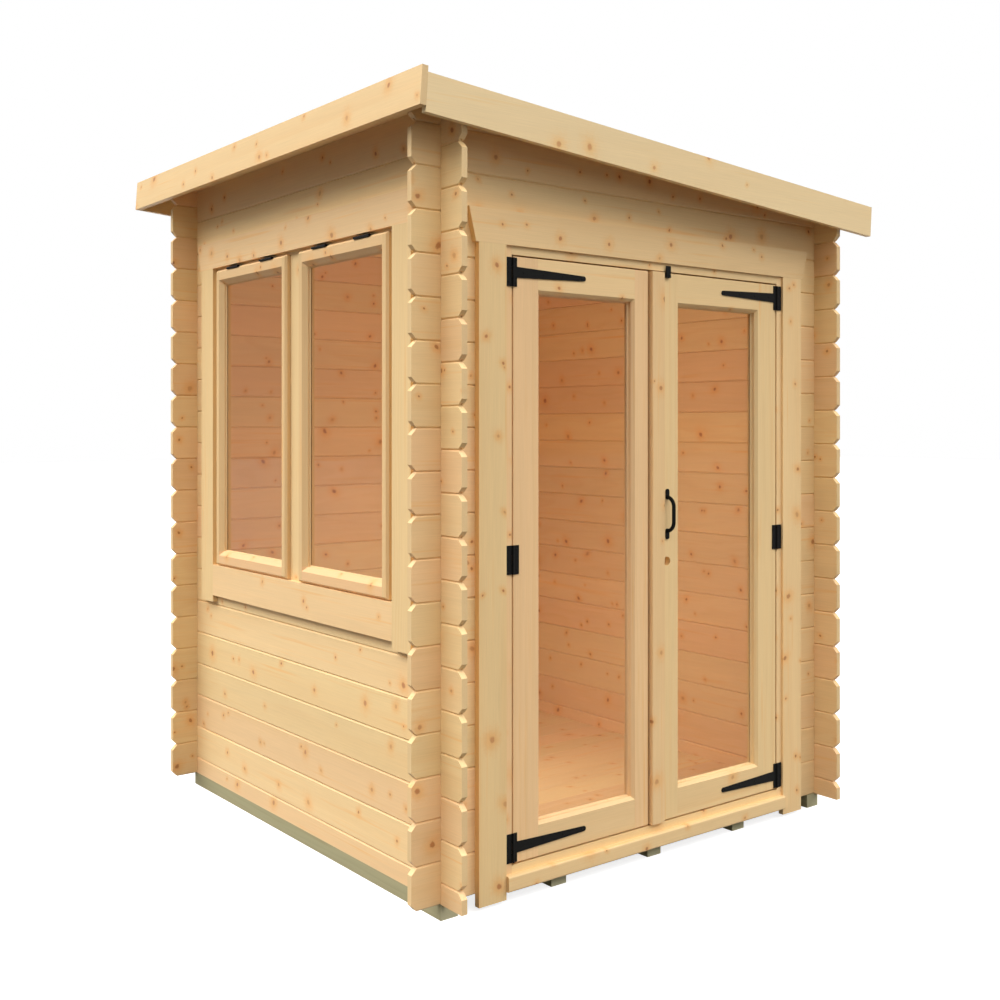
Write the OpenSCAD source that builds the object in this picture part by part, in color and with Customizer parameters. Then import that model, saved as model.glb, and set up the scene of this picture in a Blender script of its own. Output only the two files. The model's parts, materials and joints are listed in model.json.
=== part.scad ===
// Small log cabin with a single-slope roof, double glazed doors and a window wall.
// Interlocking logs, half a course out of step at the corners, stand on treated bearers.
// Frame: +X right, +Y towards the back, +Z up, doors at the front (-Y), high side left (-X).
// The origin is at ground level under the middle of the walls.

/* [Walls] */
// Outside width of the log walls, left to right
wall_w = 1650; // [1550:10:2400]
// Height of one log course
log_h = 119; // [116:0.5:124]
// Thickness of a log
log_t = 19; // [16:1:28]
// Least height of wall between the low eave and the board over the doors
over_doors = 100; // [60:5:200]
// Drop of the roof across the outside width of the walls
roof_fall = 119; // [60:1:180]
// How far each log runs past the wall it crosses
log_end = 97; // [80:1:120]
// Size of the slanted cuts at the corners of a log's end
end_cut = 19; // [8:1:26]
// Width of the small bevels along the edges of each log
log_bevel = 4; // [1:0.5:5]
// Width of the tongue along the top of each log
tongue_w = 6; // [4:0.5:8]
// Height of that tongue
tongue_h = 6; // [3:0.5:9]
// Gap between one log and the next
log_gap = 0.4; // [0.3:0.1:1]

/* [Base] */
// Number of bearers under the cabin
bearer_count = 5; // [3:2:7]
// Width of a bearer
bearer_w = 58; // [45:1:90]
// Height of a bearer
bearer_h = 45; // [40:1:75]
// Thickness of the floor boards
floor_t = 12; // [10:1:18]
// Width of one floor board
floor_board = 115; // [80:5:140]
// Width and depth of the grooves between boards
board_groove = 3; // [1:0.5:4]

/* [Roof] */
// Roof overhang at the front, to the face of the fascia
front_overhang = 123; // [115:1:200]
// Roof overhang at the back, to the face of the fascia
back_overhang = 209; // [115:1:260]
// Roof overhang at the left and right, along the slope, to the face of the fascia
side_overhang = 148; // [130:1:220]
// Thickness of the roof boards
roof_board_t = 16; // [12:1:22]
// Width of one roof board
roof_board = 112; // [80:4:140]
// Thickness of the roofing felt
felt_t = 4; // [2:0.5:6]
// Height of a fascia board
fascia_h = 105; // [90:1:150]
// Thickness of a fascia board
fascia_t = 19; // [15:1:25]
// Height of the front fascia above the underside of the roof boards
fascia_rise = 25; // [21:1:40]
// Extra height of the back and high-side fascias above the front one
high_lip = 16; // [6:1:30]
// Height of the narrow board along the low side
eaves_board_h = 56; // [40:1:62]
// Width of a purlin
purlin_w = 44; // [34:1:60]
// Height of a purlin
purlin_h = 44; // [34:1:80]
// Number of purlins
purlin_count = 2; // [1:1:3]

/* [Doorway] */
// Clear width between the door jambs
door_clear_w = 1170; // [1000:10:1190]
// Height of a door leaf
leaf_h = 1738; // [1500:1:2000]
// Thickness of a door leaf
leaf_t = 38; // [34:1:44]
// Gap round each leaf, and behind it to its stop
leaf_gap = 5; // [4:0.5:6]
// Gap between the two leaves
meeting_gap = 7; // [6:0.5:9]
// Distance of the meeting edge from the middle of the doorway, to the left
meeting_offset = 30; // [20:1:40]
// Width of the jambs, head and sill across the opening, from the logs to the leaf
frame_w = 45; // [38:1:60]
// Height of the sill above the bearers
sill_h = 57; // [50:1:70]
// Depth of the door frame, front to back
frame_depth = 58; // [58:1:80]
// How far the door frame and the leaves stand in front of the logs
frame_proud = 11; // [8:1:16]
// Width of the stop behind the leaves
stop_w = 12; // [8:1:20]
// Width of a stile, to the edge of the glass
stile_w = 102; // [90:1:120]
// Height of a leaf's rails, to the edge of the glass
rail_h = 100; // [90:1:140]
// Width of the slanted edge round the glass
glaze_bevel = 9; // [5:1:12]
// Width of the small bevels round the outside of a leaf
leaf_edge = 1.5; // [1:0.5:3]
// Depth of the door glass behind the face of the leaf
glass_set = 24; // [16:1:26]
// Thickness of the glass
glass_t = 4; // [3:0.5:6]
// Depth that the glass goes into its grooves
glass_bite = 8; // [6:1:10]
// Width of the cover strip on the right leaf
strip_w = 55; // [40:1:70]
// Thickness of the cover strip
strip_t = 13; // [9:1:16]
// Width of the bevels along the cover strip's front edges
strip_edge = 2; // [1:0.5:4]

/* [Trim boards] */
// Width of the upright trim boards
trim_w = 98; // [80:1:120]
// Thickness of the trim boards
trim_t = 19; // [17:1:25]
// Width of frame left showing beside the trim
trim_reveal = 25; // [22:1:30]
// How far the door trims run below the logs
trim_drop = 33; // [10:1:38]
// Height of the boards over the doors and the window
lintel_h = 97; // [80:1:120]
// How far each end of those boards slants out to the top
lintel_slant = 24; // [10:1:40]
// How far the foot of those boards passes the trim on each side
lintel_pass = 10; // [2:1:14]
// Height of the rounded board under the doors
threshold_h = 45; // [38:1:50]
// Thickness of that board
threshold_t = 19; // [15:1:25]
// Height of that board's top above the bearers
threshold_top = 34; // [30:1:36]
// Radius of that board's front edges
threshold_round = 6; // [3:1:9]

/* [Window] */
// Distance from the front of the cabin to the near sash
window_front = 243; // [237:1:400]
// Distance from the far sash to the back of the cabin
window_back = 223; // [212:1:400]
// Width of one sash
sash_w = 536; // [400:1:700]
// Height of a sash
sash_h = 1070; // [800:1:1200]
// Height of the foot of the sashes above the bearers
sash_foot = 809; // [780:1:820]
// Width of the post between the sashes
mullion_w = 82; // [50:1:110]
// Width of a sash's stiles, to the edge of the glass
sash_stile = 42; // [38:1:60]
// Height of a sash's rails, to the edge of the glass
sash_rail = 51; // [40:1:70]
// Width of the slanted edge round the outside of a sash
sash_edge = 7; // [7:0.5:12]
// Width of the slanted edge round the window glass
sash_bevel = 15; // [8:1:18]
// Thickness of a sash
sash_t = 38; // [34:1:44]
// How far the sashes stand in front of the logs
sash_proud = 19; // [12:1:22]
// Depth of the window glass behind the face of the sash
sash_glass_set = 24; // [20:1:26]
// Depth of the window frame, out to in
window_depth = 36; // [34:1:60]
// Height of the board under the window
window_sill_h = 112; // [90:1:130]
// Gap between that board and the sashes
window_sill_gap = 3; // [1:1:8]
// Width of frame left showing between the window trims and the sashes
window_reveal = 25; // [12:1:32]
// Height of frame left showing above the sashes
window_head = 11; // [6:1:20]
// Gap round each sash in its frame
sash_play = 1; // [0.5:0.5:3]
// Width of the frame's lip behind the sashes
window_lip_w = 12; // [8:1:20]
// How far the window trims run below that board
window_trim_drop = 24; // [10:1:40]

/* [Ironmongery] */
// Height of a hinge plate
hinge_h = 83; // [70:1:95]
// Width of the hinge plates on the jambs
hinge_plate_w = 21; // [16:1:21]
// Thickness of the hinge plates and straps
hinge_t = 3; // [2:0.5:4]
// Outside radius of a hinge knuckle
knuckle_r = 4; // [3.5:0.5:4]
// Radius of a hinge pin
pin_r = 2; // [1.5:0.25:2.5]
// Clearance between a hinge pin and the knuckle that turns on it
pin_play = 0.15; // [0.1:0.05:0.3]
// Width of a strap hinge's plate on the leaf, from the pin
strap_plate_w = 15; // [10:1:24]
// Length of a strap from its pin to its tip
strap_l = 280; // [200:5:320]
// Height of a strap at its root
strap_root_h = 32; // [24:1:40]
// Height of a strap at its tip
strap_tip_h = 15; // [10:1:20]
// Distance of the strap hinges from the ends of a leaf
hinge_inset = 45; // [44:1:80]
// Width of the middle hinge's plate on the leaf
butt_plate_w = 22; // [16:1:30]
// Height of the middle of the pull handle above the foot of the leaf
handle_z = 972; // [900:1:1050]
// Distance between the middles of the handle's feet
handle_l = 126; // [100:1:160]
// Gap between the handle's feet and the cover strip
handle_gap = 14; // [4:1:20]
// Distance that the handle's bow stands out from the leaf
handle_bow = 36; // [28:1:45]
// Radius of the handle's bar
handle_r = 6; // [3.5:0.5:6.5]
// Length of the bar's straight middle, as a share of the length between the feet
handle_flat = 0.45; // [0.2:0.01:0.5]
// Width of the handle's feet
handle_foot_w = 15; // [14:1:24]
// Height of the handle's feet
handle_foot_h = 34; // [28:1:45]
// Thickness of the handle's feet
handle_foot_t = 4; // [3:0.5:6]
// Distance of the lock hole below the middle of the handle
lock_drop = 150; // [120:1:180]
// Radius of the lock hole
lock_r = 14.5; // [8:0.5:15]
// Depth of the lock hole
lock_depth = 20; // [10:1:24]
// Width of the stop plate at the top of the right leaf
top_stop_w = 20; // [14:1:26]
// Height of that plate on the leaf
top_stop_seat = 15; // [10:1:25]
// How far that plate reaches up in front of the head
top_stop_reach = 22; // [12:1:24]
// Length of a window hinge's knuckle
window_hinge_l = 88; // [60:1:100]
// Distance of the window hinges from the sides of the sash
window_hinge_inset = 96; // [70:1:130]
// Radius of a window hinge's knuckle
window_knuckle_r = 4.5; // [3:0.5:4.5]

/* [Hidden] */

$fn = 48;
pine = "#e6c493";
pale_pine = "#f2d49c";
treated = "#928769";
iron = "#161614";
felt = "#3a3a3a";
pane = "#a8c4cc";

seat = 0.3;                 // gap where one piece is seated in or against another
half_h = log_h / 2;

// The walls are as deep as the window needs, and as many courses high as the boards over the
// doors and the window need
wall_d = window_front + 2 * sash_w + mullion_w + window_back;
door_wall_h = sill_h + leaf_h + 2 * leaf_gap + trim_reveal + lintel_h + over_doors;
window_wall_h = sash_foot + sash_h + window_head + lintel_h + over_doors;
low_courses = ceil(max(door_wall_h, window_wall_h - roof_fall) / log_h - 0.5);
low_top = (low_courses + 0.5) * log_h;
high_top = low_top + roof_fall;
roof_angle = atan(roof_fall / wall_w);
roof_w = wall_w / cos(roof_angle);
purlin_pitch = roof_w / (purlin_count + 1);
front_run = wall_w + 2 * log_end;
side_run = wall_d + 2 * log_end;
log_tip = 4;                // least height to which the slope may thin a log's end

// Height of the roof boards' underside above the bearers, at a distance from the left face
function roof_z(x) = high_top - x * roof_fall / wall_w;

// Doorway, in building coordinates: x from the left wall's face, z from the top of the bearers
door_mid = wall_w / 2;
clear_l = door_mid - door_clear_w / 2;
clear_r = door_mid + door_clear_w / 2;
leaf_foot = sill_h + leaf_gap;
leaf_top = leaf_foot + leaf_h;
head_foot = leaf_top + leaf_gap;
opening_l = clear_l - frame_w;
opening_r = clear_r + frame_w;
opening_top = head_foot + frame_w;
leaf_face = -frame_proud;
stop_face = leaf_face + leaf_t + leaf_gap;
frame_back = leaf_face + frame_depth;
lintel_foot = head_foot + trim_reveal;

// The leaves. Their stiles look alike from the front, though they meet beside the cover strip
meeting_x = door_mid - meeting_offset;
leaf_l = clear_l + leaf_gap;
left_leaf_w = meeting_x - meeting_gap - leaf_l;
right_leaf_w = clear_r - leaf_gap - meeting_x;
left_meeting_stile = stile_w - meeting_offset - meeting_gap + leaf_gap / 2;
right_meeting_stile = stile_w + meeting_offset + leaf_gap / 2;
handle_x = meeting_x + strip_w + handle_gap + handle_foot_w / 2;

// Hinge pins stand in the gap beside each leaf, in front of it
pin_left_x = clear_l + leaf_gap / 2;
pin_right_x = clear_r - leaf_gap / 2;
pin_y = leaf_face - knuckle_r;
knuckle_gap = 0.5;
leaf_plate_gap = knuckle_r + 0.8;

// Window, in building coordinates: y from the front wall's face
window_l = window_front;
window_r = window_front + 2 * sash_w + mullion_w;
window_top = sash_foot + sash_h;
window_open_l = window_l - frame_w;
window_open_r = window_r + frame_w;
window_open_foot = sash_foot - frame_w;
window_open_top = window_top + frame_w;
window_lintel_foot = window_top + window_head;
window_board_foot = sash_foot - window_sill_gap - window_sill_h;
sash_face = -sash_proud;
sash_back = sash_face + sash_t;

// Courses, counted from 0: the last one under the roof, and those beside each opening
gable_last = ceil((roof_z(-log_end) - log_tip) / log_h) - 1;
left_last = ceil((roof_z(0) - log_tip - half_h) / log_h) - 1;
right_last = ceil((roof_z(wall_w) - log_tip - half_h) / log_h) - 1;
door_courses = floor(opening_top / log_h);
window_first = ceil((window_open_foot - half_h) / log_h);
window_last = floor((window_open_top - half_h) / log_h) - 1;

// Places the building: its walls are centred on the origin and its bearers stand on the ground
module site() {
  translate([-wall_w / 2, -wall_d / 2, bearer_h]) children();
}

// Lays a flat drawing (across, up) on a front-facing plane and gives it a depth from y = 0 back
module front_plate(depth) {
  translate([0, depth, 0]) rotate([90, 0, 0]) linear_extrude(depth) children();
}

// Swaps x and y, so what is drawn for the front wall serves a side wall
module side() {
  mirror([1, -1, 0]) children();
}

// Moves to the roof's own frame: x down the slope from the left wall, z square to the boards
module on_roof() {
  translate([0, 0, high_top]) rotate([0, roof_angle, 0]) children();
}

// ---- Logs ----

// Cross-section of a log (across, up): bevelled edges, a tongue on top and a groove below.
// Under the roof its top is sawn to the slope: caps are the roof's heights over its two faces.
module log_section(tongue, caps) {
  foot = log_gap / 2;
  top = log_h - log_gap / 2;
  difference() {
    union() {
      polygon([[0, foot + log_bevel], [log_bevel, foot], [log_t - log_bevel, foot],
               [log_t, foot + log_bevel], [log_t, top - log_bevel], [log_t - log_bevel, top],
               [log_bevel, top], [0, top - log_bevel]]);
      if (tongue)
        translate([(log_t - tongue_w) / 2, top / 2])
          square([tongue_w, top / 2 + tongue_h]);
      if (len(caps) == 2)
        polygon([[0, top / 2], [log_t, top / 2], [log_t, caps[1] - seat], [0, caps[0] - seat]]);
    }
    translate([(log_t - tongue_w) / 2 - seat, -1])
      square([tongue_w + 2 * seat, 1 + foot + tongue_h + seat]);
    if (len(caps) == 2)
      polygon([[-1, caps[0] - seat], [log_t + 1, caps[1] - seat], [log_t + 1, 2 * log_h], [-1, 2 * log_h]]);
  }
}

// Outline of a log seen from its face: slanted end corners, and a notch a quarter of a course
// deep, above and below, where each end crosses the wall beside it
module log_outline(run, over) {
  notch = log_h / 4 + log_gap / 2;
  difference() {
    polygon([[0, end_cut], [end_cut, 0], [run - end_cut, 0], [run, end_cut],
             [run, log_h - end_cut], [run - end_cut, log_h], [run - end_cut, log_h + over],
             [end_cut, log_h + over], [end_cut, log_h], [0, log_h - end_cut]]);
    for (x = [log_end, run - log_end - log_t])
      for (z = [notch - log_h, log_h - notch])
        translate([x - seat, z]) square([log_t + 2 * seat, log_h]);
  }
}

// One log along x with its foot at a height above the bearers, cut to the flat shape of the
// wall that the children give
module log(run, foot, tongue = true, caps = []) {
  intersection() {
    translate([-log_end, 0, foot]) rotate([90, 0, 90]) linear_extrude(run) log_section(tongue, caps);
    front_plate(log_t) intersection() {
      translate([-log_end, foot]) log_outline(run, tongue_h + 1);
      children();
    }
  }
}

// Shape of the front and back walls: under the roof, with seats for the purlins
module gable_shape() {
  reach = log_end + 10;
  difference() {
    polygon([[-reach, 0], [wall_w + reach, 0], [wall_w + reach, roof_z(wall_w + reach) - seat],
             [-reach, roof_z(-reach) - seat]]);
    for (i = [1 : purlin_count])
      translate([0, high_top]) rotate(-roof_angle)
        translate([i * purlin_pitch - purlin_w / 2 - seat, -purlin_h - seat])
          square([purlin_w + 2 * seat, 2 * purlin_h]);
  }
}

// Part of that shape for one course: where the slope would leave the log's end thinner than
// its tip, the log stops short
module gable_course_shape(course) {
  end = min(wall_w + log_end, (high_top - course * log_h - log_tip) * wall_w / roof_fall);
  intersection() {
    gable_shape();
    translate([-log_end - 1, 0]) square([end + log_end + 2, high_top + log_h]);
  }
}

module gable_log(course) {
  log(front_run, course * log_h, course < gable_last) {
    gable_course_shape(course);
  }
}

// The doorway through the front logs, across x
module doorway_shape() {
  translate([opening_l - seat, -1]) square([opening_r - opening_l + 2 * seat, opening_top + 1 + seat]);
}

// The window opening through the left logs, across y
module window_shape() {
  translate([window_open_l - seat, window_open_foot - seat])
    square([window_open_r - window_open_l + 2 * seat, window_open_top - window_open_foot + 2 * seat]);
}

// A side wall's shape between two distances from the front face
module side_wall_shape(from, to) {
  translate([from, 0]) square([to - from, high_top + log_h]);
}

// A side log. Course -1 is the half log at the bottom, which stands on the bearers.
// roof holds the roof's heights over the log's two faces.
module side_log(course, last, roof) {
  foot = half_h + course * log_h;
  log(side_run, foot, course < last, course < last ? [] : [roof[0] - foot, roof[1] - foot])
    children();
}

module left_log(course) {
  side_log(course, left_last, [roof_z(0), roof_z(log_t)]) children();
}

module front_wall_left() {
  color(pine) site()
    for (course = [0 : door_courses - 1])
      log(front_run, course * log_h)
        translate([-log_end, 0]) square([log_end + opening_l - seat, high_top]);
}

module front_wall_right() {
  color(pine) site()
    for (course = [0 : door_courses - 1])
      log(front_run, course * log_h)
        translate([opening_r + seat, 0]) square([wall_w - opening_r - seat + log_end, high_top]);
}

module front_wall_over() {
  color(pine) site()
    for (course = [door_courses : gable_last])
      log(front_run, course * log_h, course < gable_last)
        difference() {
          gable_course_shape(course);
          doorway_shape();
        }
}

module back_wall() {
  color(pine) site() translate([0, wall_d - log_t, 0])
    for (course = [0 : gable_last])
      gable_log(course);
}

module right_wall() {
  color(pine) site() translate([wall_w - log_t, 0, 0]) side()
    for (course = [-1 : right_last])
      side_log(course, right_last, [roof_z(wall_w - log_t), roof_z(wall_w)])
        side_wall_shape(-log_end, wall_d + log_end);
}

module left_wall_below() {
  color(pine) site() side()
    for (course = [-1 : window_first - 1])
      left_log(course)
        difference() {
          side_wall_shape(-log_end, wall_d + log_end);
          window_shape();
        }
}

module left_wall_front() {
  color(pine) site() side()
    for (course = [window_first : window_last])
      left_log(course) side_wall_shape(-log_end, window_open_l - seat);
}

module left_wall_back() {
  color(pine) site() side()
    for (course = [window_first : window_last])
      left_log(course) side_wall_shape(window_open_r + seat, wall_d + log_end);
}

module left_wall_over() {
  color(pine) site() side()
    for (course = [window_last + 1 : left_last])
      left_log(course)
        difference() {
          side_wall_shape(-log_end, wall_d + log_end);
          window_shape();
        }
}

// ---- Base ----

module bearers() {
  step = (wall_w - bearer_w) / (bearer_count - 1);
  color(treated) site()
    for (i = [0 : bearer_count - 1])
      translate([i * step, 0, -bearer_h]) cube([bearer_w, wall_d, bearer_h]);
}

// A board field's section (across, up): flat faces with a V groove at every joint
module boards_section(width, board, thickness, up, down) {
  joints = [for (x = [board : board : width - board / 3]) x];
  difference() {
    square([width, thickness]);
    for (x = joints) {
      if (up) translate([x, thickness]) rotate(45) square(board_groove / sqrt(2) * [1, 1], center = true);
      if (down) translate([x, 0]) rotate(45) square(board_groove / sqrt(2) * [1, 1], center = true);
    }
  }
}

// Floor boards along x, cut out round the door frame
module floor_boards() {
  inner = log_t + seat;
  color(pale_pine) site()
    difference() {
      translate([inner, inner, 0]) rotate([90, 0, 90]) linear_extrude(wall_w - 2 * inner)
        boards_section(wall_d - 2 * inner, floor_board, floor_t, true, false);
      translate([opening_l - seat, 0, -1])
        cube([opening_r - opening_l + 2 * seat, frame_back + seat, floor_t + 2]);
    }
}

// ---- Roof ----

module purlins() {
  color(pine) site() on_roof()
    for (i = [1 : purlin_count])
      translate([i * purlin_pitch - purlin_w / 2, 0, -purlin_h])
        cube([purlin_w, wall_d, purlin_h - seat]);
}

module roof_boards() {
  inset = fascia_t + seat;
  color(pine) site() on_roof()
    translate([inset - side_overhang, inset - front_overhang, 0]) rotate([90, 0, 90])
      linear_extrude(roof_w + 2 * side_overhang - 2 * inset)
        boards_section(wall_d + front_overhang + back_overhang - 2 * inset, roof_board, roof_board_t,
                       false, true);
}

// Felt over the boards and over the top of the board along the low side
module roof_felt() {
  inset = fascia_t + seat;
  color(felt) site() on_roof()
    translate([inset - side_overhang, inset - front_overhang, roof_board_t])
      cube([roof_w + 2 * side_overhang - inset,
            wall_d + front_overhang + back_overhang - 2 * inset, felt_t]);
}

// A fascia across the front or the back, from the high-side fascia to the low side's edge
module cross_fascia(y, top) {
  inset = fascia_t + seat;
  color(pale_pine) site() on_roof()
    translate([inset - side_overhang, y, top - fascia_h])
      cube([roof_w + 2 * side_overhang - inset, fascia_t, fascia_h]);
}

module fascia_front() {
  cross_fascia(-front_overhang, fascia_rise);
}

module fascia_back() {
  cross_fascia(wall_d + back_overhang - fascia_t, fascia_rise + high_lip);
}

// The high side's fascia, over the ends of the front and back ones
module fascia_left() {
  color(pale_pine) site() on_roof()
    translate([-side_overhang, -front_overhang, fascia_rise + high_lip - fascia_h])
      cube([fascia_t, wall_d + front_overhang + back_overhang, fascia_h]);
}

// The narrow board along the low side, between the front and back fascias
module fascia_right() {
  inset = fascia_t + seat;
  color(pale_pine) site() on_roof()
    translate([roof_w + side_overhang - fascia_t, inset - front_overhang,
               roof_board_t - seat - eaves_board_h])
      cube([fascia_t, wall_d + front_overhang + back_overhang - 2 * inset, eaves_board_h]);
}

// ---- Door frame ----

// How much of a frame member the trim in front of it covers
frame_hidden = frame_w - trim_reveal + seat;

// A jamb from the logs at x = 0 to the leaf: the strip beside the trim stands proud of the logs
module door_jamb() {
  linear_extrude(opening_top) square([frame_w, frame_back]);
  translate([frame_hidden, leaf_face, 0])
    cube([frame_w - frame_hidden, frame_proud + 1, lintel_foot - seat]);
  translate([frame_w - 1, stop_face, sill_h + seat])
    cube([1 + stop_w, frame_back - stop_face, head_foot - sill_h - 2 * seat]);
}

// The head between the jambs, with its stop behind the leaves
module door_head() {
  color(pale_pine) site() translate([clear_l + seat, 0, head_foot]) {
    length = door_clear_w - 2 * seat;
    cube([length, frame_back, frame_w]);
    translate([0, leaf_face, 0]) cube([length, frame_proud + 1, frame_w - frame_hidden]);
    translate([stop_w, stop_face, -stop_w])
      cube([length - 2 * stop_w, frame_back - stop_face, stop_w + 1]);
  }
}

module door_sill() {
  color(pale_pine) site() {
    translate([clear_l + seat, leaf_face, 0])
      cube([door_clear_w - 2 * seat, frame_depth, sill_h]);
    translate([clear_l + stop_w + seat, stop_face, sill_h - 1])
      cube([door_clear_w - 2 * stop_w - 2 * seat, frame_back - stop_face, stop_w + 1]);
  }
}

// The rounded board under the doors, in front of the sill
module door_threshold() {
  length = door_clear_w + 2 * trim_reveal - 2 * seat;
  color(pale_pine) site()
    translate([clear_l - trim_reveal + seat, leaf_face - threshold_t, threshold_top - threshold_h])
      rotate([90, 0, 90]) linear_extrude(length) {
        translate([threshold_round, 0]) square([threshold_t - threshold_round, threshold_h]);
        translate([0, threshold_round]) square([threshold_round + 1, threshold_h - 2 * threshold_round]);
        for (z = [threshold_round, threshold_h - threshold_round])
          translate([threshold_round, z]) circle(threshold_round);
      }
}

// An upright trim board, its inner edge at x = 0 and its body to the left, on the log face
module trim_board(foot, top) {
  translate([-trim_w, -trim_t, foot]) cube([trim_w, trim_t, top - foot]);
}

// The board over an opening: narrower at its foot than at its top
module lintel_board(from, to, foot) {
  translate([0, -trim_t, 0]) front_plate(trim_t)
    polygon([[from - lintel_pass, foot], [to + lintel_pass, foot],
             [to + lintel_pass + lintel_slant, foot + lintel_h],
             [from - lintel_pass - lintel_slant, foot + lintel_h]]);
}

module door_jamb_left() {
  color(pale_pine) site() translate([opening_l, 0, 0]) door_jamb();
}

module door_jamb_right() {
  color(pale_pine) site() translate([opening_r, 0, 0]) mirror([1, 0, 0]) door_jamb();
}

module door_trim_left() {
  color(pale_pine) site() translate([clear_l - trim_reveal, 0, 0])
    trim_board(-trim_drop, lintel_foot - seat);
}

module door_trim_right() {
  color(pale_pine) site() translate([clear_r + trim_reveal, 0, 0]) mirror([1, 0, 0])
    trim_board(-trim_drop, lintel_foot - seat);
}

module door_lintel_board() {
  edge = trim_reveal + trim_w;
  color(pale_pine) site() lintel_board(clear_l - edge, clear_r + edge, lintel_foot);
}

// ---- Glazed frames ----

// Section of a glazed member (across from its outer edge, depth from its face): a small bevel at
// its outer edge, a wide one beside the glass and a groove for the glass
function member_section(w, depth, set, edge, bevel) = [
  [0, edge], [edge, 0], [w - bevel, 0], [w, bevel], [w, set - seat], [w - glass_bite - seat, set - seat],
  [w - glass_bite - seat, set + glass_t + seat], [w, set + glass_t + seat], [w, depth], [0, depth]];

function swap(points) = [for (p = points) [p[1], p[0]]];

// A stile, its outer edge at x = 0: full height outside, mitred where its bevel meets the rails'
module stile(w, height, rail, depth, set, edge, bevel) {
  flat = w - bevel;
  shoulder = rail - bevel;
  intersection() {
    linear_extrude(height) polygon(member_section(w, depth, set, edge, bevel));
    front_plate(depth)
      polygon([[0, 0], [flat, 0], [flat, shoulder], [w, rail], [w, height - rail],
               [flat, height - shoulder], [flat, height], [0, height]]);
    rotate([90, 0, 90]) linear_extrude(w)
      polygon([[0, edge], [edge, 0], [depth, 0], [depth, height], [edge, height], [0, height - edge]]);
  }
}

// A rail between two stiles, its outer edge at z = 0
module rail(width, left, right, w, depth, set, edge, bevel) {
  a = left - bevel + seat;
  b = width - right + bevel - seat;
  intersection() {
    rotate([90, 0, 90]) linear_extrude(width) polygon(swap(member_section(w, depth, set, edge, bevel)));
    front_plate(depth)
      polygon([[a, 0], [b, 0], [b, w - bevel], [b - bevel, w], [a + bevel, w], [a, w - bevel]]);
  }
}

// Two stiles and two rails that leave an opening for glass; left and right are the stiles' widths
module glazed_frame(width, height, left, right, rail_w, depth, set, edge, bevel) {
  stile(left, height, rail_w, depth, set, edge, bevel);
  translate([width, 0, 0]) mirror([1, 0, 0]) stile(right, height, rail_w, depth, set, edge, bevel);
  rail(width, left, right, rail_w, depth, set, edge, bevel);
  translate([0, 0, height]) mirror([0, 0, 1]) rail(width, left, right, rail_w, depth, set, edge, bevel);
}

// The sheet of glass that stands in the grooves of such a frame
module glass_sheet(width, height, left, right, rail_w, set) {
  translate([left - glass_bite, set, rail_w - glass_bite])
    cube([width - left - right + 2 * glass_bite, glass_t, height - 2 * rail_w + 2 * glass_bite]);
}

// ---- Doors ----

module door_left_frame() {
  color(pale_pine) site() translate([leaf_l, leaf_face, leaf_foot])
    glazed_frame(left_leaf_w, leaf_h, stile_w, left_meeting_stile, rail_h, leaf_t, glass_set, leaf_edge,
                 glaze_bevel);
}

module door_left_glass() {
  color(pane) site() translate([leaf_l, leaf_face, leaf_foot])
    glass_sheet(left_leaf_w, leaf_h, stile_w, left_meeting_stile, rail_h, glass_set);
}

module door_right_frame() {
  color(pale_pine) site() translate([meeting_x, leaf_face, leaf_foot])
    difference() {
      glazed_frame(right_leaf_w, leaf_h, right_meeting_stile, stile_w, rail_h, leaf_t, glass_set,
                   leaf_edge, glaze_bevel);
      translate([handle_x - meeting_x, -1, handle_z - lock_drop]) rotate([-90, 0, 0])
        cylinder(h = 1 + lock_depth, r = lock_r);
    }
}

module door_right_glass() {
  color(pane) site() translate([meeting_x, leaf_face, leaf_foot])
    glass_sheet(right_leaf_w, leaf_h, right_meeting_stile, stile_w, rail_h, glass_set);
}

module cover_strip() {
  color(pale_pine) site()
    translate([meeting_x, leaf_face, leaf_foot]) linear_extrude(leaf_h)
      polygon([[0, 0], [0, strip_edge - strip_t], [strip_edge, -strip_t], [strip_w - strip_edge, -strip_t],
               [strip_w, strip_edge - strip_t], [strip_w, 0]]);
}

// ---- Ironmongery ----

// Heights of the hinges above the foot of the leaf: strap, butt, strap
hinge_heights = [hinge_inset, leaf_h / 2, leaf_h - hinge_inset];

// The fixed half of a hinge, its pin at the origin and its plate to the left:
// a plate with two knuckles, and the pin through all three. middle is the turning knuckle's height.
module hinge_fixed(plate, middle) {
  back = knuckle_r;
  translate([-plate, back - hinge_t, -hinge_h / 2])
    cube([plate - leaf_plate_gap, hinge_t, hinge_h]);
  knuckle = (hinge_h - middle) / 2 - knuckle_gap;
  for (z = [-hinge_h / 2, hinge_h / 2 - knuckle]) {
    translate([-leaf_plate_gap - 1, back - hinge_t, z]) cube([leaf_plate_gap + 1, hinge_t, knuckle]);
    translate([0, 0, z]) cylinder(h = knuckle, r = knuckle_r);
  }
  translate([0, 0, -hinge_h / 2]) cylinder(h = hinge_h, r = pin_r);
}

// The turning half: a plate to the right of the pin with the middle knuckle, and the children
module hinge_turning(plate, middle) {
  back = knuckle_r;
  difference() {
    union() {
      translate([leaf_plate_gap, back - hinge_t, -hinge_h / 2])
        cube([plate - leaf_plate_gap, hinge_t, hinge_h]);
      translate([0, back - hinge_t, -middle / 2]) cube([leaf_plate_gap + 1, hinge_t, middle]);
      translate([0, 0, -middle / 2]) cylinder(h = middle, r = knuckle_r);
      children();
    }
    translate([0, 0, -middle / 2 - 1]) cylinder(h = middle + 2, r = pin_r + pin_play);
  }
}

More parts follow.
